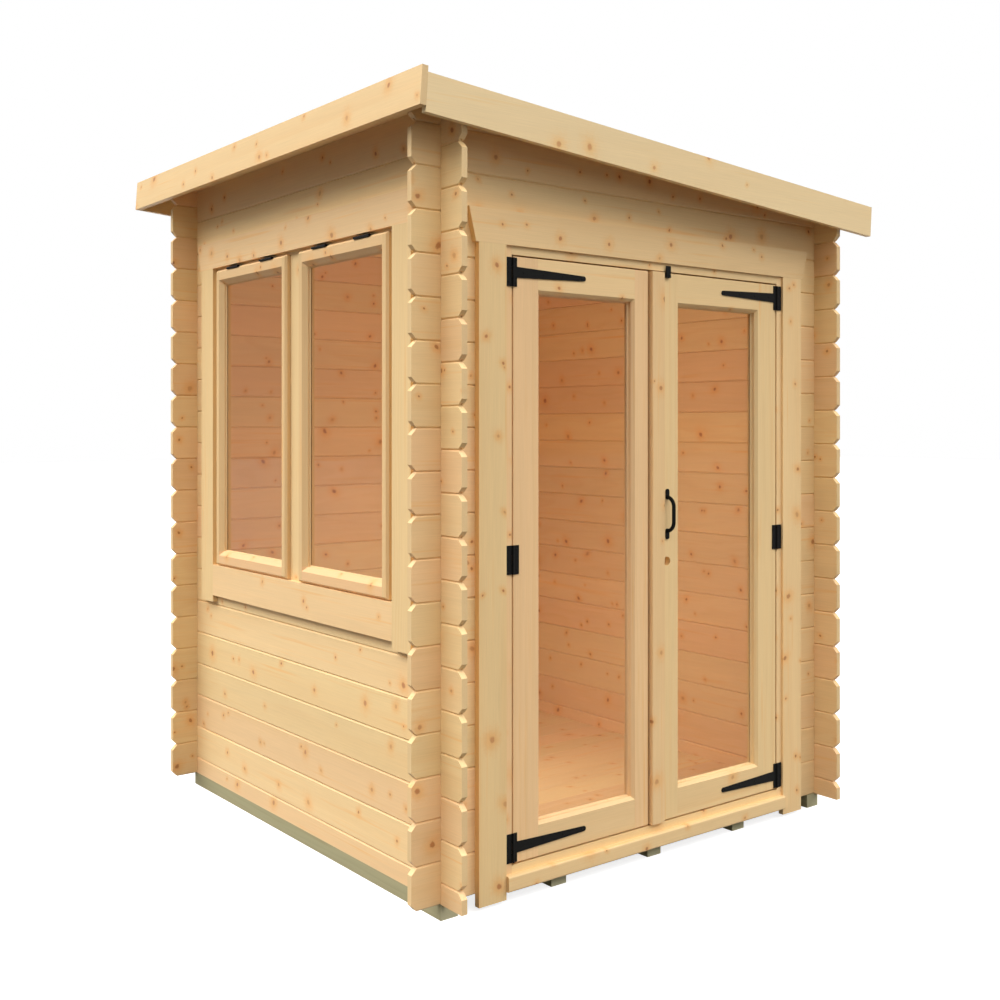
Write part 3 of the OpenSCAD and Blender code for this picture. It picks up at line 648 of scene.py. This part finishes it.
def piece(name: str, points: np.ndarray, faces: np.ndarray, body: str,
          finish: bpy.types.Material, smooth: bool = True) -> bpy.types.Object:
    """Makes a piece that rides on a body.

    Args:
        name: The piece's name.
        points: Its points, in metres.
        faces: Its faces, four numbers each, where a triangle repeats its first as its last.
        body: The body that carries it.
        finish: Its material.
        smooth: Whether its faces are shaded as one curve.

    Returns:
        The finished object.
    """
    mesh = bpy.data.meshes.new(name)
    corners = [row[:3] if row[0] == row[3] else row for row in faces.tolist()]
    mesh.from_pydata(points.tolist(), [], corners)
    mesh.polygons.foreach_set("use_smooth", np.full(len(corners), smooth))
    mesh.materials.append(finish)
    made = bpy.data.objects.new(name, mesh)
    bpy.context.scene.collection.objects.link(made)
    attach(made, body)
    LOG.info("%s made with %d faces", name, len(corners))
    return made


def dress(names: Sequence[str], finish: Callable[[str], bpy.types.Material], nodes: dict[str, Any]) -> None:
    """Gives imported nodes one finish.

    Args:
        names: The nodes.
        finish: Makes the material from its name.
        nodes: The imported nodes.
    """
    made = finish(names[0] + "_finish")
    for name in names:
        mesh = nodes[name].data
        mesh.materials.clear()
        mesh.materials.append(made)
        LOG.info("%s dressed in %s", name, made.name)


@dataclass
class Cabin:
    """Sizes that the sub-assemblies share.

    Attributes:
        nodes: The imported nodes.
        course: Height of a log.
        ground_to_logs: Height of the bearers.
        bite: How deep the edge of a pane sits in its frame.
    """

    nodes: dict[str, Any]
    course: float = 0.119
    ground_to_logs: float = 0.045
    bite: float = 0.008

    def span(self, name: str, axis: Axis) -> tuple[float, float]:
        """Lowest and highest place of a node on an axis."""
        low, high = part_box(name)
        return low[axis.value], high[axis.value]

    def wood(self, names: Sequence[str], lay: Lay, seed: int, finish: Wood = Wood()) -> None:
        """Dresses nodes in wood that lies a certain way."""
        dress(names, lambda title: finish.material(title, lay, seed), self.nodes)

    def middle(self, name: str, axis: Axis) -> float:
        """Middle of a node on an axis."""
        return sum(self.span(name, axis)) / 2


@dataclass
class LogWalls:
    """The four walls of interlocking logs."""

    cabin: Cabin

    def build(self) -> None:
        """Dresses each wall: the side walls' courses start half a log below the front's."""
        c = self.cabin
        front = Lay(Axis.X, Axis.Z, c.ground_to_logs, c.course)
        side = Lay(Axis.Y, Axis.Z, c.ground_to_logs - c.course / 2, c.course)
        for seed, name in enumerate(("front_wall_left", "front_wall_right", "front_wall_over", "back_wall"), 1):
            c.wood([name], front, seed)
        c.wood(["right_wall"], side, 6)
        c.wood(["left_wall_below", "left_wall_over", "left_wall_front"], side, 7)
        c.wood(["left_wall_back"], side, 8)


@dataclass
class Base:
    """The bearers and the floor boards."""

    cabin: Cabin
    board: float = 0.115
    bearers: int = 5

    def build(self) -> None:
        """Dresses the floor and the treated bearers."""
        c = self.cabin
        start = c.span("floor_boards", Axis.Y)[0]
        c.wood(["floor_boards"], Lay(Axis.X, Axis.Y, start, self.board), 11)
        low = c.span("bearers", Axis.X)[0]
        pitch = (c.span("bearers", Axis.X)[1] - low) / self.bearers
        # The treated tone's pale end colour is painted light on the bearers' end faces
        c.wood(["bearers"], Lay(Axis.Y, Axis.X, low, pitch), 12, Wood(TREATED, knot_share=0.5, roughness=0.8))


@dataclass
class Roof:
    """Purlins, roof boards, felt with its laps and nails, and fascias.

    Attributes:
        cabin: The sizes that are shared.
        board: Width of a roof board.
        felt: The felt's thickness.
        lap: How far one sheet lies over the next.
        laps_at: Places of the laps' edges, as shares of the slope.
        nail: Radius of a nail's head.
        nail_gap: Distance between nails along a lap, doubled along the slope's sides.
        nail_in: Distance of the nails from a lap's edge.
        bed: How deep a lap's underside lies in the felt.
        side_gap: Distance from the ends of a lap to the felt's edges.
    """

    cabin: Cabin
    board: float = 0.112
    felt: float = 0.004
    lap: float = 0.080
    laps_at: tuple[float, ...] = (0.36, 0.70)
    nail: float = 0.0045
    nail_gap: float = 0.060
    nail_in: float = 0.020
    bed: float = 0.001
    side_gap: float = 0.004

    def build(self) -> None:
        """Dresses the roof's wood and felt."""
        c = self.cabin
        start = c.span("roof_boards", Axis.Y)[0]
        c.wood(["roof_boards"], Lay(Axis.X, Axis.Y, start, self.board), 14)
        c.wood(["purlins"], Lay(Axis.Y, Axis.X, 0.0, 0.3), 15)
        for seed, name in ((16, "fascia_front"), (17, "fascia_back")):
            c.wood([name], Lay(Axis.X, Axis.Z, c.middle(name, Axis.Z)), seed, Wood(PALE))
        for seed, name in ((18, "fascia_left"), (19, "fascia_right")):
            c.wood([name], Lay(Axis.Y, Axis.Z, c.middle(name, Axis.Z)), seed)
        dress(["roof_felt"], Felt().material, c.nodes)
        self._laps()

    def _slope(self) -> tuple[np.ndarray, np.ndarray, np.ndarray, float]:
        """The felt's top: its high edge, its direction downhill, its direction up, and its length."""
        (x0, y0, z0), (x1, _, z1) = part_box("roof_felt")
        tilt = math.atan((z1 - z0 - self.felt) / (x1 - x0))
        down = np.array([math.cos(tilt), 0.0, -math.sin(tilt)])
        up = np.array([math.sin(tilt), 0.0, math.cos(tilt)])
        start = np.array([x0 + self.felt * math.sin(tilt), y0, z1])
        return start, down, up, (x1 - start[0]) / math.cos(tilt)

    def _laps(self) -> None:
        """Lays the strips where one sheet of felt laps over the next, and nails them.

        A strip's height above the felt is its thickness times a smooth fall from 1 at its downhill
        edge to 0 at its uphill one, with a slow wave along the edge. Its underside lies straight
        under it, just inside the felt, and its ends are closed.
        """
        start, down, up, length = self._slope()
        back = np.array([0.0, 1.0, 0.0])
        wide = self.cabin.span("roof_felt", Axis.Y)[1] - start[1]
        along = np.linspace(self.side_gap, wide - self.side_gap, 60)
        share = np.linspace(0.0, 1.0, 8)
        wave = 0.0016 * np.sin(along * 9.0) + 0.0009 * np.sin(along * 31.0 + 1.0)
        points, faces, nails = [], [], []
        for k, place in enumerate(length * share_down for share_down in self.laps_at):
            distance = (place + wave)[None] - self.lap * share[:, None]
            fall = self.felt * 0.5 * (1 - share) ** 2 + 0.0003 - 0.0009 * (share == 1.0)
            height = np.repeat(fall[:, None], len(along), axis=1)
            rows = np.concatenate([distance, distance[::-1]])
            lifts = np.concatenate([height, np.full_like(height, -self.bed)])
            grid = start + rows[..., None] * down + lifts[..., None] * up + along[None, :, None] * back
            low, step = np.meshgrid(np.arange(len(rows)), np.arange(len(along) - 1), indexing="ij")
            corner, beyond = low * len(along) + step, (low + 1) % len(rows) * len(along) + step
            walls = np.stack([corner, corner + 1, beyond + 1, beyond], -1).reshape(-1, 4)
            rise = np.arange(len(share) - 1)
            cap = np.stack([rise, rise + 1, len(rows) - 2 - rise, len(rows) - 1 - rise], -1) * len(along)
            points.append(grid.reshape(-1, 3))
            faces.append(np.concatenate([walls, cap, cap[:, ::-1] + len(along) - 1]) + k * len(rows) * len(along))
            spots = np.arange(0.05, wide, self.nail_gap)
            nails.append(start + (place - self.nail_in) * down + 0.0012 * up + spots[:, None] * back)
        felt = Felt().material("lap_finish")
        piece("felt_laps", np.concatenate(points), np.concatenate(faces), "cabin", felt)
        edge = np.arange(0.05, length, self.nail_gap * 2)
        nails += [start + edge[:, None] * down + y * back for y in (0.018, wide - 0.018)]
        foot = -0.0008 / self.nail
        head = self.nail * np.array([[0.0, foot], [1.0, foot], [1.0, 0.08], [0.75, 0.22], [0.0, 0.28]])
        points, faces = revolved(head, 10, np.concatenate(nails), up, down)
        piece("felt_nails", points, faces, "cabin", Iron(roughness=0.45).material("nail_finish"))


@dataclass
class Doorway:
    """The door frame, its trim boards and the rounded board under the doors."""

    cabin: Cabin

    def build(self) -> None:
        """Dresses each board along its own length."""
        c = self.cabin
        for seed, name in enumerate(("door_jamb_left", "door_jamb_right", "door_trim_left", "door_trim_right"), 20):
            c.wood([name], Lay(Axis.Z, Axis.X, c.middle(name, Axis.X)), seed)
        for seed, name in enumerate(("door_head", "door_sill", "door_threshold", "door_lintel_board"), 24):
            c.wood([name], Lay(Axis.X, Axis.Z, c.middle(name, Axis.Z)), seed)


def seal(cabin: Cabin, name: str, panes: Sequence[tuple[np.ndarray, np.ndarray]], flat: Axis, body: str,
         finish: bpy.types.Material) -> None:
    """Runs a bead round both faces of each pane, out to the edge of its groove.

    Args:
        cabin: The sizes that are shared.
        name: The piece's name.
        panes: The lowest and highest corners of each sheet of glass.
        flat: Axis at a right angle to the glass.
        body: The body that carries them.
        finish: Their material.
    """
    points, faces = [], []
    inward = np.full(3, cabin.bite)
    inward[flat.value] = 0.0
    for low, high in panes:
        for side, level in ((-1.0, low[flat.value]), (1.0, high[flat.value])):
            near, far = low + inward, high - inward
            near[flat.value] = level
            made = beads(near, far, flat, side)
            faces.append(made[1] + sum(len(p) for p in points))
            points.append(made[0])
    piece(name, np.concatenate(points), np.concatenate(faces), body, finish, False)


@dataclass
class DoorLeaf:
    """One glazed door leaf.

    Attributes:
        cabin: The sizes that are shared.
        hand: Which leaf, "left" or "right".
        seed: Number that sets its wood apart.
        rail: Height of its top and bottom rails.
        edge: How far the bevel round the glass reaches into the stiles.
    """

    cabin: Cabin
    hand: str
    seed: int
    rail: float = 0.100
    edge: float = 0.009

    def build(self) -> None:
        """Dresses the leaf: its stiles stand and its rails lie between them."""
        c = self.cabin
        frame = f"door_{self.hand}_frame"
        glass = c.span(f"door_{self.hand}_glass", Axis.X)
        x0, x1 = c.span(frame, Axis.X)
        z0, z1 = c.span(frame, Axis.Z)
        half = (glass[1] - glass[0]) / 2 - c.bite
        centre = (glass[0] + glass[1]) / 2
        lay = Lay(Axis.Z, Axis.X, centre, 0.0, (((z0 + z1) / 2, (z1 - z0) / 2 - self.rail), (0.0, half + self.edge)))
        c.wood([frame], lay, self.seed)
        pane = [np.array(corner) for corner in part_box(f"door_{self.hand}_glass")]
        finish = c.nodes[frame].data.materials[0]
        seal(c, f"door_{self.hand}_bead", [(pane[0], pane[1])], Axis.Y, f"door_{self.hand}", finish)


@dataclass
class WindowUnit:
    """The window in the left wall.

    Attributes:
        cabin: The sizes that are shared.
        stile: Width of a sash's upright.
        rail: Height of its top and bottom rails.
        width: Width of a sash.
        bevel: How far the bevel round the glass reaches into the stiles.
        frame: Width of the window frame's members.
        trims: Half the distance between the outer edges of the window trims.
    """

    cabin: Cabin
    stile: float = 0.042
    rail: float = 0.051
    width: float = 0.536
    bevel: float = 0.015
    frame: float = 0.045
    trims: float = 0.52

    def build(self) -> None:
        """Dresses the frame, the two sashes and the boards round them."""
        c = self.cabin
        y0, y1 = c.span("window_sashes", Axis.Y)
        z0, z1 = c.span("window_sashes", Axis.Z)
        post = (y0 + y1) / 2
        offset = (y1 - y0) / 2 - self.width / 2
        tall, across = (z1 - z0) / 2 - self.rail, self.width / 2 - self.stile + self.bevel
        lay = Lay(Axis.Z, Axis.Y, post + offset, 0.0, (((z0 + z1) / 2, tall), (0.0, across)), post)
        # The sashes wear the darker copy of pine, painted shade
        c.wood(["window_sashes"], lay, 31, Wood(PINE_PAINTED_SHADE))
        low, high = (np.array(corner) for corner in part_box("window_glass"))
        sheet = np.array([0.0, high[1] - low[1] - (self.width - 2 * (self.stile - c.bite)), 0.0])
        finish = c.nodes["window_sashes"].data.materials[0]
        seal(c, "window_beads", [(low, high - sheet), (low + sheet, high)], Axis.X, "cabin", finish)
        z0, z1 = c.span("window_frame", Axis.Z)
        lay = Lay(Axis.Z, Axis.Y, post, 0.0, (((z0 + z1) / 2, (z1 - z0) / 2 - self.frame), (0.0, (y1 - y0) / 2)))
        c.wood(["window_frame"], lay, 32)
        c.wood(["window_trims"], Lay(Axis.Z, Axis.Y, post - self.trims, 2 * self.trims), 33)
        for seed, name in ((34, "window_lintel_board"), (35, "window_sill_board")):
            c.wood([name], Lay(Axis.Y, Axis.Z, c.middle(name, Axis.Z)), seed)


@dataclass
class Ironmongery:
    """The black hinges, straps, handle and stop, and the screws in them.

    Attributes:
        cabin: The sizes that are shared.
        hinge: Height of a hinge.
        strap: Length of a strap from the hinge's pin to its tip.
        plate: Thickness of the plates.
        head: Radius of a screw's head.
        jamb_set: Distance of the jamb's screws from the plate's outer edge.
        plate_rise: Distance between the three screws of a plain plate.
        strap_rise: Distance of a strap hinge's outer screws from its middle.
        strap_run: Distances from the pin of the screws along a strap.
    """

    cabin: Cabin
    hinge: float = 0.083
    strap: float = 0.280
    plate: float = 0.003
    head: float = 0.0034
    jamb_set: float = 0.0094
    plate_rise: float = 0.029
    strap_rise: float = 0.031
    strap_run: tuple[float, ...] = (0.040, 0.115, 0.190, 0.265)

    def build(self) -> None:
        """Dresses all the iron and the cover strip that carries the handle."""
        c = self.cabin
        names = ["hinge_plates_left", "hinge_plates_right", "door_left_straps", "door_right_straps",
                 "pull_handle", "top_stop", "window_hinges"]
        dress(names, Iron().material, c.nodes)
        c.wood(["cover_strip"], Lay(Axis.Z, Axis.X, c.middle("cover_strip", Axis.X)), 41)
        finish = Iron().material("screw_finish")
        fixed = np.concatenate([self._plate("left", -1.0), self._plate("right", 1.0)])
        self._screws("hinge_screws", fixed, "cabin", finish)
        self._screws("left_leaf_screws", self._leaf("left", 1.0), "door_left", finish)
        moving = np.concatenate([self._leaf("right", -1.0), self._handle(), self._stop()])
        self._screws("right_leaf_screws", moving, "door_right", finish)

    def _heights(self, name: str) -> np.ndarray:
        """Heights of the middles of a door's three hinges, lowest first."""
        low, high = self.cabin.span(name, Axis.Z)
        return np.array([low + self.hinge / 2, (low + high) / 2, high - self.hinge / 2])

    def _grid(self, name: str, x: float, heights: np.ndarray, drops: Sequence[float]) -> np.ndarray:
        """Places on a node's plates, at one distance across and at each height plus each drop.

        Args:
            name: The node that carries them.
            x: Distance across.
            heights: Heights of the plates' middles.
            drops: Distances above those middles.

        Returns:
            One row for each place.
        """
        face = self.cabin.span(name, Axis.Y)[1] - self.plate
        z = (heights[:, None] + np.array(drops)[None]).ravel()
        return np.stack([np.full(len(z), x), np.full(len(z), face), z], -1)

    def _plate(self, hand: str, side: float) -> np.ndarray:
        """Screws in the plates on a jamb, three to a hinge."""
        name = f"hinge_plates_{hand}"
        outer = self.cabin.span(name, Axis.X)[0 if side < 0 else 1]
        rises = (-self.plate_rise, 0.0, self.plate_rise)
        return self._grid(name, outer - side * self.jamb_set, self._heights(name), rises)

    def _leaf(self, hand: str, side: float) -> np.ndarray:
        """Screws in the straps and plates on a leaf."""
        name = f"door_{hand}_straps"
        tip = self.cabin.span(name, Axis.X)[1 if side > 0 else 0]
        pin, heights = tip - side * self.strap, self._heights(name)
        rows = [self._grid(name, pin + side * 0.0100, heights[::2], (-self.strap_rise, self.strap_rise)),
                self._grid(name, pin + side * 0.0136, heights[1:2], (-self.plate_rise, 0.0, self.plate_rise))]
        rows += [self._grid(name, pin + side * run, heights[::2], (0.0,)) for run in self.strap_run]
        return np.concatenate(rows)

    def _handle(self) -> np.ndarray:
        """Screws in the outer ends of the handle's feet."""
        name = "pull_handle"
        middle = np.array([self.cabin.middle(name, Axis.Z)])
        reach = (self.cabin.span(name, Axis.Z)[1] - middle[0]) - 0.0085
        rows = self._grid(name, self.cabin.middle(name, Axis.X), middle, (-reach, reach))
        return rows + np.array([0.0, self.plate - 0.004, 0.0])

    def _stop(self) -> np.ndarray:
        """The screw in the plate at the top of the right leaf."""
        low = self.cabin.span("top_stop", Axis.Z)[0]
        row = self._grid("top_stop", self.cabin.middle("top_stop", Axis.X), np.array([low]), (0.0075,))
        row[:, 1] = self.cabin.span("top_stop", Axis.Y)[0]
        return row

    def _screws(self, name: str, centres: np.ndarray, body: str, finish: bpy.types.Material) -> None:
        """Sets a round-headed screw at each place, on faces that look forwards.

        The head's profile is a quarter of an ellipse from its rim to a dimple for the driver.

        Args:
            name: The piece's name.
            centres: One row for each screw.
            body: The body that carries them.
            finish: Their material.
        """
        bow = np.linspace(0.0, 1.35, 6)
        dome = np.stack([self.head * np.cos(bow), 0.38 * self.head * np.sin(bow)], -1)
        sunk = np.array([[self.head * 0.20, 0.05 * self.head]])
        profile = np.concatenate([[[0.0, -0.0004]], [[self.head, -0.0004]], dome, sunk, [[0.0, 0.02 * self.head]]])
        points, faces = revolved(profile, 16, centres, np.array([0.0, -1.0, 0.0]), np.array([1.0, 0.0, 0.0]))
        piece(name, points, faces, body, finish)


# ---- Studio ---------------------------------------------------------------------------------


@dataclass(frozen=True)
class Lamp:
    """One soft far lamp.

    Attributes:
        name: The lamp's name.
        heading: Direction in which its light travels.
        spread: Width of its disc in degrees, which softens the shadows.
        strength: Its light, in watts a square metre.
        colour: Its colour.
    """

    name: str
    heading: tuple[float, float, float]
    spread: float
    strength: float
    colour: Colour = (1.0, 1.0, 1.0)

    def build(self) -> None:
        """Makes the lamp."""
        data = bpy.data.lights.new(self.name, "SUN")
        data.angle, data.energy, data.color = math.radians(self.spread), self.strength, self.colour
        lamp = bpy.data.objects.new(self.name, data)
        bpy.context.scene.collection.objects.link(lamp)
        lamp.location = (0.0, 0.0, 6.0)
        lamp.rotation_mode = "QUATERNION"
        lamp.rotation_quaternion = Vector(self.heading).to_track_quat("-Z", "Y")


@dataclass
class Studio:
    """The camera, the lamps, the pale floor and the white surround."""

    eye: tuple[float, float, float] = (-2.7338, -3.5193, 1.3613)
    look: tuple[float, float, float] = (0.61533, 0.78828, 0.0)
    lens: float = 43.42
    sensor: float = 36.0
    shift_up: float = -0.07475
    sky: float = 0.02
    lamps: list[Lamp] = field(default_factory=lambda: [
        Lamp("key", (0.50, -0.50, -0.71), 40.0, 2.09),
        Lamp("left", (0.71, 0.0, -0.71), 40.0, 1.45),
        Lamp("left_high", (0.30, -0.09, -0.95), 40.0, 0.78),
        Lamp("left_low", (0.97, 0.0, -0.26), 40.0, 0.20),
        Lamp("left_front", (0.50, 0.50, -0.71), 40.0, 0.45),
        Lamp("front", (0.0, 0.71, -0.71), 40.0, 0.64),
        Lamp("front_low", (0.0, 0.97, -0.26), 40.0, 0.52),
        Lamp("right_front", (-0.50, 0.50, -0.71), 40.0, 1.88),
        Lamp("right_back", (-0.66, -0.66, -0.36), 40.0, 1.40),
    ])
    room_light: tuple[float, float, float] = (-0.05, -0.70, 1.28)
    room_aim: tuple[float, float, float] = (0.15, 1.0, 0.0)
    room_power: float = 6.5
    room_size: tuple[float, float] = (0.9, 1.2)
    room_colour: Colour = (1.0, 0.80, 0.67)
    floor_reach: float = 40.0
    floor_shade: float = 0.5
    floor_glow: float = 0.80
    floor_unseen: float = 0.06

    def build(self) -> None:
        """Sets up the view and the light."""
        self._camera()
        self._world()
        self._floor()
        for lamp in self.lamps:
            lamp.build()
        self._room_light()
        bpy.context.scene.view_settings.view_transform = "Standard"

    def _camera(self) -> None:
        """Makes the level camera, shifted down to frame the cabin."""
        data = bpy.data.cameras.new("view")
        data.sensor_width, data.lens, data.shift_y = self.sensor, self.lens, self.shift_up
        data.clip_start, data.clip_end = 0.05, 200.0
        camera = bpy.data.objects.new("view", data)
        bpy.context.scene.collection.objects.link(camera)
        camera.location = self.eye
        camera.rotation_mode = "QUATERNION"
        camera.rotation_quaternion = Vector(self.look).to_track_quat("-Z", "Y")
        bpy.context.scene.camera = camera

    def _world(self) -> None:
        """Makes a dim even sky that is plain white where it is seen, reflected or looked at through glass."""
        world = bpy.data.worlds.new("surround")
        bpy.context.scene.world = world
        world.use_nodes = True
        tree = world.node_tree
        tree.nodes.clear()
        path = tree.nodes.new("ShaderNodeLightPath")
        seen = path.outputs["Is Camera Ray"]
        for ray in ("Is Glossy Ray", "Is Transmission Ray"):
            either = tree.nodes.new("ShaderNodeMath")
            either.operation = "MAXIMUM"
            tree.links.new(seen, either.inputs[0])
            tree.links.new(path.outputs[ray], either.inputs[1])
            seen = either.outputs[0]
        mixed = tree.nodes.new("ShaderNodeMixShader")
        tree.links.new(seen, mixed.inputs[0])
        for place, strength in enumerate((self.sky, 1.0), start=1):
            sky = tree.nodes.new("ShaderNodeBackground")
            sky.inputs[0].default_value, sky.inputs[1].default_value = (1.0, 1.0, 1.0, 1.0), strength
            tree.links.new(sky.outputs[0], mixed.inputs[place])
        output = tree.nodes.new("ShaderNodeOutputWorld")
        tree.links.new(mixed.outputs[0], output.inputs[0])

    def _room_light(self) -> None:
        """Stands a soft warm lamp inside the doors, out of sight, as the light inside is otherwise dim."""
        data = bpy.data.lights.new("room", "AREA")
        data.shape, (data.size, data.size_y) = "RECTANGLE", self.room_size
        data.energy, data.color = self.room_power, self.room_colour
        lamp = bpy.data.objects.new("room", data)
        bpy.context.scene.collection.objects.link(lamp)
        lamp.location = self.room_light
        lamp.rotation_mode = "QUATERNION"
        lamp.rotation_quaternion = Vector(self.room_aim).to_track_quat("-Z", "Y")
        lamp.visible_camera = lamp.visible_glossy = lamp.visible_transmission = False

    def _floor(self) -> None:
        """Lays a wide white floor that takes the cabin's shadow."""
        reach = self.floor_reach
        mesh = bpy.data.meshes.new("studio_floor")
        corners = [(-reach, -reach, 0), (reach, -reach, 0), (reach, reach, 0), (-reach, reach, 0)]
        mesh.from_pydata(corners, [], [(0, 1, 2, 3)])
        floor = bpy.data.objects.new("studio_floor", mesh)
        bpy.context.scene.collection.objects.link(floor)
        g = Graph("studio_white")
        x, y, _ = g.place()
        tooth = g.noise(x * 5.0, y * 5.0, 0.0, 2.0) * 0.01 + 0.995
        shadowed = g.node("ShaderNodeBsdfDiffuse", {}, {"Color": g.shade((self.floor_shade,) * 3, tooth)})
        glow = g.node("ShaderNodeEmission", {}, {"Color": (1.0, 1.0, 1.0, 1.0), "Strength": self.floor_glow})
        seen = g.node("ShaderNodeAddShader", {}, {0: shadowed.outputs[0], 1: glow.outputs[0]})
        unseen = g.node("ShaderNodeBsdfDiffuse", {}, {"Color": (*(self.floor_unseen,) * 3, 1.0)})
        path = g.node("ShaderNodeLightPath", {}, {})
        straight = [Signal(g, path.outputs[k]) for k in ("Is Camera Ray", "Is Glossy Ray", "Is Transmission Ray")]
        direct = g.maths("MINIMUM", straight[0] + straight[1] + straight[2], 1.0)
        made = g.node("ShaderNodeMixShader", {}, {0: direct, 1: unseen.outputs[0], 2: seen.outputs[0]})
        g.tree.links.new(made.outputs[0], g.output.inputs[0])
        mesh.materials.append(g.material)


def main() -> None:
    """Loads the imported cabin, dresses it and lights it."""
    logging.basicConfig(level=logging.INFO, format="%(message)s")
    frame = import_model()
    cabin = Cabin(frame["nodes"])
    Studio().build()
    for part in (LogWalls(cabin), Base(cabin), Roof(cabin), Doorway(cabin), DoorLeaf(cabin, "left", 51),
                 DoorLeaf(cabin, "right", 52), WindowUnit(cabin), Ironmongery(cabin)):
        part.build()
        LOG.info("%s built", type(part).__name__)
    dress(["door_left_glass", "door_right_glass", "window_glass"], Glass().material, cabin.nodes)
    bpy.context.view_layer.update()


if __name__ == "__main__":
    main()
